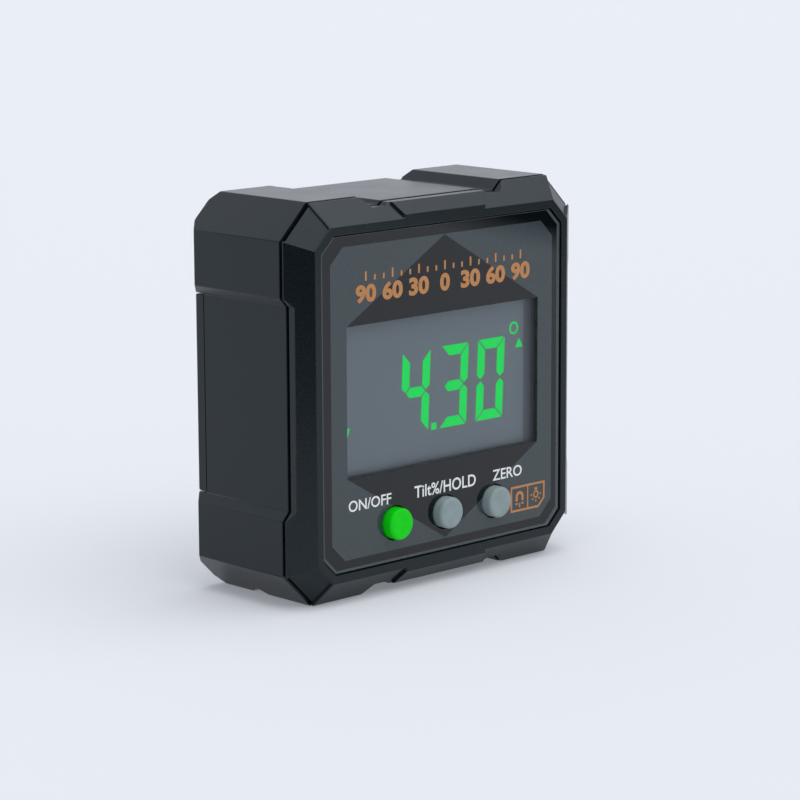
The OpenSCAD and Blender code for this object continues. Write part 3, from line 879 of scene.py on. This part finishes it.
@dataclass
class Shells:
    """The front cover, the rear case and the battery door, with the soft edges of mouldings."""

    cover_radius: float = 0.1
    case_radius: float = 0.14
    seam_band: float = 0.6
    skin: float = 2.1
    door_edge_depth: float = 2.6
    panel: Box = field(default_factory=lambda: node_box("lens_panel"))
    case: Box = field(default_factory=lambda: node_box("rear_case"))
    door: Box = field(default_factory=lambda: node_box("battery_door"))

    def cover_edge(self, middle: Vector) -> bool:
        """True for an edge of the cover that shows outside, so not behind the seam or under the panel."""
        under = side_distance(self.panel, middle) > 0 and middle.y > self.panel[0].y
        return middle.y < self.case[0].y - self.seam_band and not under

    def case_edge(self, middle: Vector) -> bool:
        """True for an edge of the rear case that shows outside."""
        return side_distance(self.case, middle) <= self.skin

    def door_edge(self, middle: Vector) -> bool:
        """True for an edge of the door that shows from behind."""
        return middle.y > self.door[1].y - self.door_edge_depth

    def build(self) -> None:
        """Makes the three mouldings and lets them stand for their nodes."""
        makers = (
            ("front_cover", "cover_moulding", HOUSING, self.cover_radius, self.cover_edge),
            ("rear_case", "case_moulding", HOUSING, self.case_radius, self.case_edge),
            ("battery_door", "door_moulding", "door", self.case_radius, self.door_edge),
        )
        for node, name, body, radius, wanted in makers:
            add_piece(name, softened_mesh(node, radius, wanted), CASE_ABS, body, [node])


@dataclass
class Pictograms:
    """The box in the panel's lower right corner, with a plain magnet and a plain lamp in it."""

    box: Edges = (13.65, 20.55, 8.05, 11.6)
    cut: Point = (1.22, 1.15)
    divider: float = 17.1
    divider_inset: float = 0.15
    box_line: float = 0.34
    line: float = 0.26
    magnet: Point = (15.38, 10.1)
    bow_radius: float = 0.62
    bow_line: float = 0.46
    bow_steps: int = 18
    leg_low: float = 9.45
    pole: Point = (8.92, 9.22)
    pull: Point = (8.5, 9.15)
    lamp: Point = (18.85, 9.95)
    bulb: Point = (0.58, 0.33)
    bulb_steps: int = 24
    cap_half: float = 0.3
    cap: Point = (10.6, 11.0)
    rays: int = 5
    ray: Point = (0.78, 1.12)
    ray_line: float = 0.24

    def regions(self) -> list[Region]:
        """Outlines of the box and of what is in it.

        Returns:
            The outlines with their holes.
        """
        left, right, low, high = self.box
        corner = [(right - self.cut[0], low), (right, low + self.cut[1])]
        middle = [(self.divider, low + self.divider_inset), (self.divider, high - self.divider_inset)]
        outer = stroke([(left, low), *corner, (right, high), (left, high)], self.box_line, True)
        return [outer, stroke(middle, self.line), *self.magnet_regions(), *self.lamp_regions()]

    def magnet_regions(self) -> list[Region]:
        """Outlines of a horseshoe magnet: its bow, its two poles and a line of its pull.

        Returns:
            The outlines with their holes.
        """
        x, z = self.magnet
        half = self.bow_line / 2
        bow = [around(x, z, self.bow_radius, math.pi * i / self.bow_steps) for i in range(self.bow_steps + 1)]
        legs = (x - self.bow_radius, x + self.bow_radius)
        shoe = stroke([(legs[1], self.leg_low), *bow, (legs[0], self.leg_low)], self.bow_line)
        poles = [(rectangle(leg - half, leg + half, *self.pole), []) for leg in legs]
        return [shoe, *poles, stroke([(x, height) for height in self.pull], self.line)]

    def lamp_regions(self) -> list[Region]:
        """Outlines of a hanging lamp: its cap, its bulb and the rays below.

        Returns:
            The outlines with their holes.
        """
        x, z = self.lamp
        cap = rectangle(x - self.cap_half, x + self.cap_half, *self.cap)
        outer, inner = (circle(x, z, radius, self.bulb_steps) for radius in self.bulb)
        turns = [math.pi * (1 + i / (self.rays - 1)) for i in range(self.rays)]
        rays = [stroke([around(x, z, reach, turn) for reach in self.ray], self.ray_line) for turn in turns]
        return [(cap, []), (outer, [inner]), *rays]


@dataclass
class FrontPanel:
    """The clear panel with its print: border, field, pointed shield, key words, scale and pictograms."""

    layer: float = 0.02
    leg: float = 2.26
    # Widths of the painted edge highlight, from the panel's sides to the black border
    edge_left: float = 0.3
    edge_right: float = 0.7
    edge_low: float = 0.5
    edge_high: float = 0.2
    edge_round: float = 0.12
    field_half: float = 22.1
    field_low: float = 6.4
    field_high: float = 50.7
    field_leg: float = 2.4
    window: Edges = (-19.1, 19.1, 17.95, 39.47)
    shield_tip: float = 6.56
    shield_top: float = 50.6
    key_flange: float = 0.9
    key_clear: float = 0.25
    key_steps: int = 96
    panel: Box = field(default_factory=lambda: node_box("lens_panel"))
    keys: list[Box] = field(default_factory=lambda: [node_box(f"{name}_button") for name in KEY_NAMES])
    words: tuple[Word, ...] = (
        ("ON/OFF", (-18.96, -10.74), (13.2, 14.8)),
        ("Tilt%/HOLD", (-6.16, 6.22), (13.2, 15.0)),
        ("ZERO", (9.72, 15.82), (13.3, 14.95)),
    )
    word_weight: float = 0.012
    scale_numbers: tuple[int, ...] = (90, 60, 30, 0, 30, 60, 90)
    scale_half: float = 15.4
    scale_rise: Point = (42.5, 45.1)
    digit_half: float = 0.98
    digit_weight: float = 0.045
    tick_base: float = 45.6
    tick_long: float = 1.3
    tick_short: float = 0.75
    tick_width: float = 0.34
    ticks_between: int = 3
    top_level: int = 4

    def front(self, level: int) -> float:
        """Y of the front of a print layer, counted from the panel outwards."""
        return self.panel[0].y - level * self.layer

    def key_holes(self) -> list[Outline]:
        """Outlines of the panel's holes for the keys.

        Returns:
            An outline for each key, from left to right.
        """
        holes = []
        for low, high in self.keys:
            middle = (low + high) / 2
            radius = (high.x - low.x) / 2 - self.key_flange + self.key_clear
            holes.append(circle(middle.x, middle.z, radius, self.key_steps))
        return holes

    def outer_edge(self, middle: Vector) -> bool:
        """True for an edge around the front of the panel."""
        return middle.y < self.panel[0].y + self.layer and side_distance(self.panel, middle) < self.leg

    def build(self) -> None:
        """Makes the panel and all layers of its print."""
        rim = softened_mesh("lens_panel", self.edge_round, self.outer_edge)
        add_piece("clear_panel", rim, ACRYLIC, stands_for=["lens_panel"])
        low, high = self.panel
        inset = self.edge_round
        openings = [rectangle(*self.window), *self.key_holes()]
        edge = octagon(low.x + inset, high.x - inset, low.z + inset, high.z - inset, self.leg)
        border = octagon(low.x + self.edge_left, high.x - self.edge_right,
                         low.z + self.edge_low, high.z - self.edge_high, self.leg)
        area = octagon(-self.field_half, self.field_half, self.field_low, self.field_high, self.field_leg)
        layers = (
            # Painted highlight: a lighter grey band between the panel's edge and the black border
            ("panel_edge", [(edge, [border])], EDGE_HIGHLIGHT_INK, 1),
            ("print_border", [(border, openings)], BLACK_INK, 1),
            ("print_field", [(area, openings)], FIELD_INK, 2),
            ("print_shield", self.shield_regions(), BLACK_INK, 3),
        )
        for name, regions, ink, level in layers:
            add_piece(name, sheet_mesh(name, regions, self.front(level), self.layer), ink)
        self.build_lettering()
        signs = sheet_mesh("print_pictograms", Pictograms().regions(), self.front(self.top_level), self.layer)
        add_piece("print_pictograms", signs, ORANGE_INK)

    def shield_regions(self) -> list[Region]:
        """The dark shield above and below the window.

        Its lower part runs round the left and right keys and has a hole for the middle one.

        Returns:
            The roof and the lower part.
        """
        x0, x1, z0, z1 = self.window
        left, middle, right = self.key_holes()
        roof = [(x1, z1), (0.0, self.shield_top), (x0, z1)]
        foot = [(x0, z0), *self.along_hole(left), (0.0, self.shield_tip), *self.along_hole(right), (x1, z0)]
        return [(roof, []), (foot, [middle])]

    def along_hole(self, ring: Outline) -> Outline:
        """The part of a key hole that lies inside the shield, from left to right.

        Args:
            ring: outline of the hole.

        Returns:
            Points along the hole's upper side.
        """
        slope = (self.window[2] - self.shield_tip) / self.window[1]
        within = [z >= self.shield_tip + slope * abs(x) for x, z in ring]
        first = next(i for i in range(len(ring)) if within[i] and not within[i - 1])
        run = [ring[(first + i) % len(ring)] for i in range(sum(within))]
        return run[::-1]

    def build_lettering(self) -> None:
        """Makes the white words over the keys and the scale: numbers as words, and ticks by a node tree."""
        front = self.front(self.top_level)
        pitch = 2 * self.scale_half / (len(self.scale_numbers) - 1)
        numbers = []
        for i, number in enumerate(self.scale_numbers):
            x = -self.scale_half + i * pitch
            half = self.digit_half * len(str(number))
            numbers.append((str(number), (x - half, x + half), self.scale_rise))
        prints = (
            ("print_words", self.words, self.word_weight, WHITE_INK),
            ("scale_numbers", numbers, self.digit_weight, ORANGE_INK),
        )
        for name, words, weight, ink in prints:
            add_piece(name, words_mesh(name, words, front, self.layer, weight), ink)
        add_piece("scale_ticks", self.tick_mesh(pitch / self.ticks_between))

    def tick_mesh(self, pitch: float) -> Mesh:
        """Makes the row of ticks.

        Args:
            pitch: distance between two ticks in millimetres.

        Returns:
            The mesh of all ticks.
        """
        shape = NodeShape("scale_ticks")
        count = shape.size("Ticks", (len(self.scale_numbers) - 1) * self.ticks_between + 1, "NodeSocketInt")
        every = shape.size("Ticks to a number", self.ticks_between, "NodeSocketInt")
        step = shape.size("Pitch", pitch * MM)
        width = shape.size("Tick width", self.tick_width * MM)
        depth = shape.size("Tick thickness", self.layer * MM)
        long = shape.size("Long tick", self.tick_long * MM)
        short = shape.size("Short tick", self.tick_short * MM)
        run = shape.add("ShaderNodeCombineXYZ", {"X": step}).outputs["Vector"]
        middle = self.front(self.top_level) + self.layer / 2
        first = (-self.scale_half * MM, middle * MM, self.tick_base * MM)
        row = {"Count": count, "Start Location": first, "Offset": run}
        line = shape.add("GeometryNodeMeshLine", row, mode="OFFSET").outputs["Mesh"]
        index = shape.add("GeometryNodeInputIndex").outputs["Index"]
        part = shape.add("FunctionNodeIntegerMath", {0: index, 1: every}, operation="MODULO").outputs[0]
        whole = shape.add("FunctionNodeCompare", {2: part, 3: 0}, data_type="INT", operation="EQUAL")
        choice = {"Switch": whole.outputs["Result"], "False": short, "True": long}
        height = shape.add("GeometryNodeSwitch", choice, input_type="FLOAT").outputs["Output"]
        size = shape.add("ShaderNodeCombineXYZ", {"X": width, "Y": depth, "Z": height}).outputs["Vector"]
        unit = shape.add("GeometryNodeMeshCube", {"Size": (1.0, 1.0, 1.0)}).outputs["Mesh"]
        raised = shape.add("GeometryNodeTransform", {"Geometry": unit, "Translation": (0.0, 0.0, 0.5)})
        ticks = {"Points": line, "Instance": raised.outputs["Geometry"], "Scale": size}
        placed = shape.add("GeometryNodeInstanceOnPoints", ticks).outputs["Instances"]
        return shape.mesh(placed, ORANGE_INK)


@dataclass
class Display:
    """The display behind the window: film, a darker band round it that is widest at the right, and lit
    segments.
    """

    layer: float = 0.015
    gap: float = 0.005
    glass: Box = field(default_factory=lambda: node_box("lcd_glass"))
    # The darker band round the film: left, right, low and high
    seal: Edges = (-20.6, 20.6, 16.5, 40.9)
    active: Edges = (-19.3, 17.5, 17.9, 39.6)
    reading: tuple[tuple[str, float], ...] = (("4", -7.57), ("3", 0.1), ("0", 7.55))
    digit_width: float = 5.5
    digit_low: float = 22.3
    digit_high: float = 34.2
    bar: float = 1.48
    split: float = 0.15
    slant: float = 0.0485
    point: Point = (-1.4, -0.38)
    point_high: float = 1.0
    ring: Point = (15.5, 35.15)
    ring_radii: Point = (0.94, 0.64)
    arrows: tuple[Outline, ...] = (
        ((15.8, 32.2), (17.4, 32.2), (16.6, 33.55)),
        ((-18.4, 24.8), (-17.8, 23.5), (-17.3, 24.8)),
    )

    def front(self, level: int) -> float:
        """Y of the front of a display layer, counted from the glass outwards."""
        return self.glass[0].y - level * (self.layer + self.gap)

    def bars(self) -> dict[Segment, Outline]:
        """Outlines of the seven bars in a cell whose lower left corner is at zero.

        Returns:
            The outline of each bar.
        """
        w, h, t, s = self.digit_width, self.digit_high - self.digit_low, self.bar, self.split
        mid = h / 2
        upper_left = [(0, h - s), (t, h - t - s), (t, mid + t / 2 + s), (t / 2, mid + s), (0, mid + t / 2)]
        top = [(s, h), (w - s, h), (w - t - s, h - t), (t + s, h - t)]
        middle = [
            (t / 2 + s, mid), (t + s, mid + t / 2), (w - t - s, mid + t / 2),
            (w - t / 2 - s, mid), (w - t - s, mid - t / 2), (t + s, mid - t / 2),
        ]
        return {
            Segment.TOP: top,
            Segment.UPPER_LEFT: upper_left,
            Segment.UPPER_RIGHT: [(w - x, z) for x, z in upper_left],
            Segment.LOWER_LEFT: [(x, h - z) for x, z in upper_left],
            Segment.LOWER_RIGHT: [(w - x, h - z) for x, z in upper_left],
            Segment.BOTTOM: [(x, h - z) for x, z in top],
            Segment.MIDDLE: middle,
        }

    def lit_regions(self) -> list[Region]:
        """Outlines of all that is lit: digits, point, degree ring and the two arrows.

        Returns:
            The outlines with their holes.
        """
        bars = self.bars()
        regions: list[Region] = []
        for figure, x0 in self.reading:
            for segment, outline in bars.items():
                if segment.value in DIGIT_BARS[figure]:
                    lean = [(x0 + x + self.slant * z, self.digit_low + z) for x, z in outline]
                    regions.append((lean, []))
        outer, inner = (circle(*self.ring, radius) for radius in self.ring_radii)
        regions.append((rectangle(*self.point, self.digit_low, self.digit_low + self.point_high), []))
        regions.append((outer, [inner]))
        regions.extend((arrow, []) for arrow in self.arrows)
        return regions

    def build(self) -> None:
        """Makes the film, its edge and the lit segments."""
        layers = (
            ("display_edge", [(rectangle(*self.seal), [])], DARK_DISPLAY_BAND, 1),
            ("display_film", [(rectangle(*self.active), [])], FILM, 2),
            ("display_segments", self.lit_regions(), LIT_GREEN, 3),
        )
        for name, regions, finish, level in layers:
            mesh = sheet_mesh(name, regions, self.front(level), self.layer)
            add_piece(name, mesh, finish)


@dataclass
class Keys:
    """The three push keys: caps with a rounded edge and a faintly dished face, over their flanges."""

    edge: float = 0.5
    edge_steps: int = 6
    dish: float = 0.06
    dish_steps: int = 5
    flange: float = 0.8
    flange_wide: float = 0.9

    def profile(self, face: float, back: float, wide: float) -> list[Point]:
        """Radius and Y along a key, from the middle of its face to the middle of its back.

        Args:
            face: Y of the face.
            back: Y of the back.
            wide: radius of the flange.

        Returns:
            The points of the profile.
        """
        radius = wide - self.flange_wide
        flat = radius - self.edge
        shares = [i / self.dish_steps for i in range(self.dish_steps + 1)]
        dished = [(flat * share, face + self.dish * (1 - share**2)) for share in shares]
        turns = [math.pi / 2 * (1 - i / self.edge_steps) for i in range(1, self.edge_steps + 1)]
        rounded = [(flat + self.edge * math.cos(a), face + self.edge * (1 - math.sin(a))) for a in turns]
        stem = [(radius, back - self.flange), (wide, back - self.flange), (wide, back), (0.0, back)]
        return [*dished, *rounded, *stem]

    def build(self) -> None:
        """Makes the three keys and lets them stand for their nodes."""
        looks = ((GREEN_CAP, Slot.GREEN_KEY), (GREY_CAP, Slot.GREY_KEY), (GREY_CAP, Slot.GREY_KEY))
        for name, (finish, slot) in zip(KEY_NAMES, looks):
            node = f"{name}_button"
            low, high = node_box(node)
            middle = (low + high) / 2
            profile = self.profile(low.y, high.y, (high.x - low.x) / 2)
            mesh = lathe_mesh(name, profile, lambda a, b, c, m=middle: Vector((m.x + a, c, m.z + b)))
            add_piece(f"{name}_cap", mesh, finish, f"{name}_key", [node])


@dataclass
class PowerPack:
    """The two cells with their sleeves and ends, and the two coil springs."""

    radius: float = 5.25
    length: float = 44.5
    tip_radius: float = 1.9
    tip: float = 0.8
    tip_round: float = 0.2
    y: float = 5.55
    upper_z: float = 33.9
    lower_z: float = 23.1
    shift: float = 1.55
    sleeve_lap: float = 1.2
    sleeve_clear: float = 0.02
    sleeve_colour: str = "#14181c"
    band_start: float = 9.0
    end_sunk: float = 0.1
    crimp: float = 0.35
    crimp_bend: float = 0.3
    plate_face: float = 23.85
    spring_length: float = 3.0
    spring_wide: float = 3.4
    spring_narrow: float = 2.2
    spring_turns: float = 4.0
    spring_steps: int = 32
    spring_wire: float = 0.5
    wire_steps: int = 12

    def sleeve_profile(self) -> list[Point]:
        """Radius and distance along a cell's sleeve, lapped over both ends.

        Returns:
            The points of the closed profile.
        """
        can, bend, bore = self.length - self.tip, self.crimp, self.radius - self.sleeve_lap
        low = [(self.radius - bend, 0.0), (self.radius - bend * self.crimp_bend, bend * self.crimp_bend),
               (self.radius, bend)]
        high = [(radius, can - along) for radius, along in low[::-1]]
        inner = [(bore, along) for along in (can, can - self.end_sunk, self.end_sunk, 0.0)]
        return [*low, *high, *inner, low[0]]

    def can_profile(self) -> list[Point]:
        """Radius and distance along the metal that shows at both ends of a cell.

        Returns:
            The points of the profile, from pole to pole.
        """
        tip, sunk = self.tip_radius, self.end_sunk
        shoulder = self.length - self.tip - sunk
        inside = self.radius - self.sleeve_lap - self.sleeve_clear
        return [
            (0.0, sunk), (inside, sunk), (inside, shoulder), (tip, shoulder),
            (tip, self.length - self.tip_round), (tip - self.tip_round, self.length), (0.0, self.length),
        ]

    def build(self) -> None:
        """Makes both cells and both springs."""
        for name, z, side in (("upper", self.upper_z, 1), ("lower", self.lower_z, -1)):
            place = self.placer(side * (self.shift - self.length / 2), side, z)
            film = CellSleeve(f"cell_sleeve_{name}", self.sleeve_colour, 0.28, side=side,
                              band_edge=self.shift + self.band_start)
            sleeve = lathe_mesh(name, self.sleeve_profile(), place)
            add_piece(f"cell_{name}_sleeve", sleeve, film, stands_for=[f"battery_{name}"])
            can = lathe_mesh(name, self.can_profile(), place)
            add_piece(f"cell_{name}_can", can, CAN_STEEL)
        for name, z, side in (("negative_spring", self.upper_z, 1), ("bridge_spring", self.lower_z, -1)):
            add_piece(f"{name}_coil", self.spring_mesh(z, side), stands_for=[name])

    def placer(self, start: float, side: int, z: float) -> Placer:
        """Gives the function that lays a turned profile along X.

        Args:
            start: X of the profile's start.
            side: 1 to run to the right, -1 to the left.
            z: height of the axis.

        Returns:
            A function of across, up and along.
        """
        return lambda a, b, c: Vector((start + side * c, self.y + a, z + side * b))

    def spring_mesh(self, z: float, side: int) -> Mesh:
        """Makes one coil spring along its helix.

        Args:
            z: height of its axis.
            side: 1 if it stands on the left plate, -1 if on the right one.

        Returns:
            The mesh, in place.
        """
        shape = NodeShape("coil_spring")
        coil = {
            "Resolution": self.spring_steps,
            "Rotations": shape.size("Turns", self.spring_turns),
            "Start Radius": shape.size("Wide radius", self.spring_wide * MM),
            "End Radius": shape.size("Narrow radius", self.spring_narrow * MM),
            "Height": shape.size("Height", (self.spring_length - self.spring_wire) * MM),
        }
        wire = shape.size("Wire radius", self.spring_wire / 2 * MM)
        ring = {"Resolution": self.wire_steps, "Radius": wire}
        path = shape.add("GeometryNodeCurveSpiral", coil).outputs["Curve"]
        section = shape.add("GeometryNodeCurvePrimitiveCircle", ring).outputs["Curve"]
        swept = {"Curve": path, "Profile Curve": section, "Fill Caps": True}
        tube = shape.add("GeometryNodeCurveToMesh", swept).outputs["Mesh"]
        stand = (-side * (self.plate_face - self.spring_wire / 2) * MM, self.y * MM, z * MM)
        turned = {"Geometry": tube, "Translation": stand, "Rotation": (0.0, side * math.pi / 2, 0.0)}
        mesh = shape.mesh(shape.add("GeometryNodeTransform", turned).outputs["Geometry"], NICKEL)
        mesh.shade_smooth()
        return mesh


@dataclass
class Base:
    """The magnets in the feet, with the rounded edges of pressed and plated discs."""

    edge: float = 0.25
    edge_steps: int = 4
    radius: float = 2.5
    low: float = 0.1
    high: float = 2.1

    def profile(self) -> list[Point]:
        """Radius and height along a magnet.

        Returns:
            The points of the profile, from pole to pole.
        """
        r, e = self.radius, self.edge
        turns = [math.pi / 2 * i / self.edge_steps for i in range(self.edge_steps + 1)]
        lower = [(r - e + e * math.sin(a), self.low + e * (1 - math.cos(a))) for a in turns]
        upper = [(r - e + e * math.cos(a), self.high - e * (1 - math.sin(a))) for a in turns]
        return [(0.0, self.low), *lower, *upper, (0.0, self.high)]

    def build(self) -> None:
        """Makes the four magnets where their nodes are."""
        for place in ("front_left", "front_right", "rear_left", "rear_right"):
            node = f"magnet_{place}"
            low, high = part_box(node)
            middle = (low + high) / (2 * MM)
            mesh = lathe_mesh(node, self.profile(), lambda a, b, c, m=middle: Vector((m.x + a, m.y + b, c)))
            add_piece(f"{node}_disc", mesh, MAGNET_NICKEL, stands_for=[node])


@dataclass
class Inside:
    """Nodes whose shape is right as it is, with their finishes."""

    finishes: dict[str, Finish] = field(default_factory=lambda: {
        "lens_tape": FOAM_TAPE, "circuit_board": BOARD_GREEN, "controller_chip": BLACK_MOULDING,
        "tilt_sensor": BLACK_MOULDING, "timing_crystal": ZINC, "board_parts": CERAMIC,
        "lcd_glass": DARK_DISPLAY_BAND, "lcd_backlight": LIGHT_GUIDE, "lcd_frame": BLACK_MOULDING,
        "lcd_connector": LAYERED_RUBBER, "negative_plate": NICKEL, "positive_plate": NICKEL,
        "bridge_plate": NICKEL, "case_screws": ZINC, "board_screws": ZINC,
        **{f"{name}_plunger": BLACK_MOULDING for name in KEY_NAMES},
        **{f"{name}_switch": ZINC for name in KEY_NAMES},
    })

    def dress(self) -> None:
        """Gives each node its finish."""
        for name, finish in self.finishes.items():
            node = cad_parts[name]
            node.data.materials.clear()
            node.data.materials.append(finish.material())
            LOG.info("%s: dressed with %s", name, finish.name)


@dataclass
class Studio:
    """A pale floor, an even pale surround, one wide soft light from above, two dark cards that paint dark
    reflections, and the camera.
    """

    floor_half: float = 4000.0
    floor_drop: float = 0.02
    floor_colour: str = "#f5f7fc"
    surround_colour: str = "#e9edf5"
    surround_light: float = 0.5
    sun_strength: float = 1.55
    sun_angle: float = 75.0
    sun_tilt: Triple = (16.0, 9.0, 0.0)
    flag_place: Point = (-95.0, -120.0)
    flag_half: float = 55.0
    flag_top: float = 90.0
    corner_flag: Triple = (100.0, 260.0, -164.0)
    camera_place: Triple = (-300.173, -315.529, 108.445)
    camera_right: Triple = (0.72216367, -0.69170861, -0.0043395)
    camera_forward: Triple = (0.67882779, 0.7098935, -0.18773401)
    camera_lens: float = 136.83
    sensor_width: float = 36.0
    clip_metres: Point = (0.01, 50.0)

    def build(self) -> None:
        """Makes the floor, the flags, the light and the camera."""
        half = self.floor_half
        corners = [(x, y, -self.floor_drop) for x, y in rectangle(-half, half, -half, half)]
        floor = self.sheet("floor", corners, StudioPaper("pale_matt_floor", self.floor_colour, 0.9))
        self.flags()
        self.light()
        self.camera()

    def sheet(self, name: str, corners: Sequence[Triple], finish: Finish) -> Object:
        """Makes a flat sheet.

        Args:
            name: name of the sheet.
            corners: its four corners in millimetres.
            finish: its finish.

        Returns:
            The sheet.
        """
        mesh = bpy.data.meshes.new(name)
        mesh.from_pydata([Vector(corner) * MM for corner in corners], [], [(0, 1, 2, 3)])
        return new_piece(name, mesh, finish)

    def flags(self) -> None:
        """Makes the dark card beside the camera and the one that the panel's upper right corner mirrors.

        They show in reflections only, as painted dark reflections, and neither block light nor cast shadow.
        """
        x, y = self.flag_place
        across = Vector((-y, x)).normalized() * self.flag_half
        left, right, ahead = self.corner_flag
        plain = Finish("black_reflection_card", REFLECTION_CARD_BLACK, 0.95)
        fading = FadingCloth("fading_reflection_card", REFLECTION_CARD_BLACK, 0.95)
        cards = (
            ("dark_flag", (x - across.x, y - across.y), (x + across.x, y + across.y), plain),
            ("corner_flag", (left, ahead), (right, ahead), fading),
        )
        for name, first, second, cloth in cards:
            corners = [(*first, 0.0), (*second, 0.0), (*second, self.flag_top), (*first, self.flag_top)]
            card = self.sheet(name, corners, cloth)
            # Hidden from the camera, from diffuse light and from shadows, so they are painted dark
            # reflections
            card.visible_camera = card.visible_diffuse = False
            card.visible_shadow = card.visible_transmission = False

    def light(self) -> None:
        """Makes the surround and the wide lamp above."""
        scene = bpy.context.scene
        scene.view_settings.view_transform = "Standard"
        world = bpy.data.worlds.new("surround")
        scene.world = world
        world.use_nodes = True
        tree = world.node_tree
        tree.nodes.clear()
        level = {"Value": seen_rays(tree), "To Min": self.surround_light, "To Max": 1.0}
        strength = add_node(tree, "ShaderNodeMapRange", level).outputs["Result"]
        pale = {"Color": linear(self.surround_colour), "Strength": strength}
        glow = add_node(tree, "ShaderNodeBackground", pale)
        add_node(tree, "ShaderNodeOutputWorld", {"Surface": glow.outputs["Background"]})
        lamp = bpy.data.lights.new("wide_lamp", "SUN")
        lamp.energy = self.sun_strength
        lamp.angle = math.radians(self.sun_angle)
        holder = bpy.data.objects.new("wide_lamp", lamp)
        holder.rotation_euler = [math.radians(a) for a in self.sun_tilt]
        scene.collection.objects.link(holder)

    def camera(self) -> None:
        """Makes the camera at the photograph's place."""
        right, forward = Vector(self.camera_right), Vector(self.camera_forward)
        up = right.cross(forward)
        turn = Matrix((right, up, -forward)).transposed().to_4x4()
        data = bpy.data.cameras.new("camera")
        data.lens = self.camera_lens
        data.sensor_width = self.sensor_width
        data.sensor_fit = "HORIZONTAL"
        data.clip_start, data.clip_end = self.clip_metres
        camera = bpy.data.objects.new("camera", data)
        camera.matrix_world = Matrix.Translation(Vector(self.camera_place) * MM) @ turn
        bpy.context.scene.collection.objects.link(camera)
        bpy.context.scene.camera = camera


def main() -> None:
    """Builds all sub-assemblies in order."""
    logging.basicConfig(level=logging.INFO, format="%(name)s %(message)s")
    Shells().build()
    FrontPanel().build()
    Display().build()
    Keys().build()
    PowerPack().build()
    Base().build()
    Inside().dress()
    Studio().build()


if __name__ == "__main__":
    main()
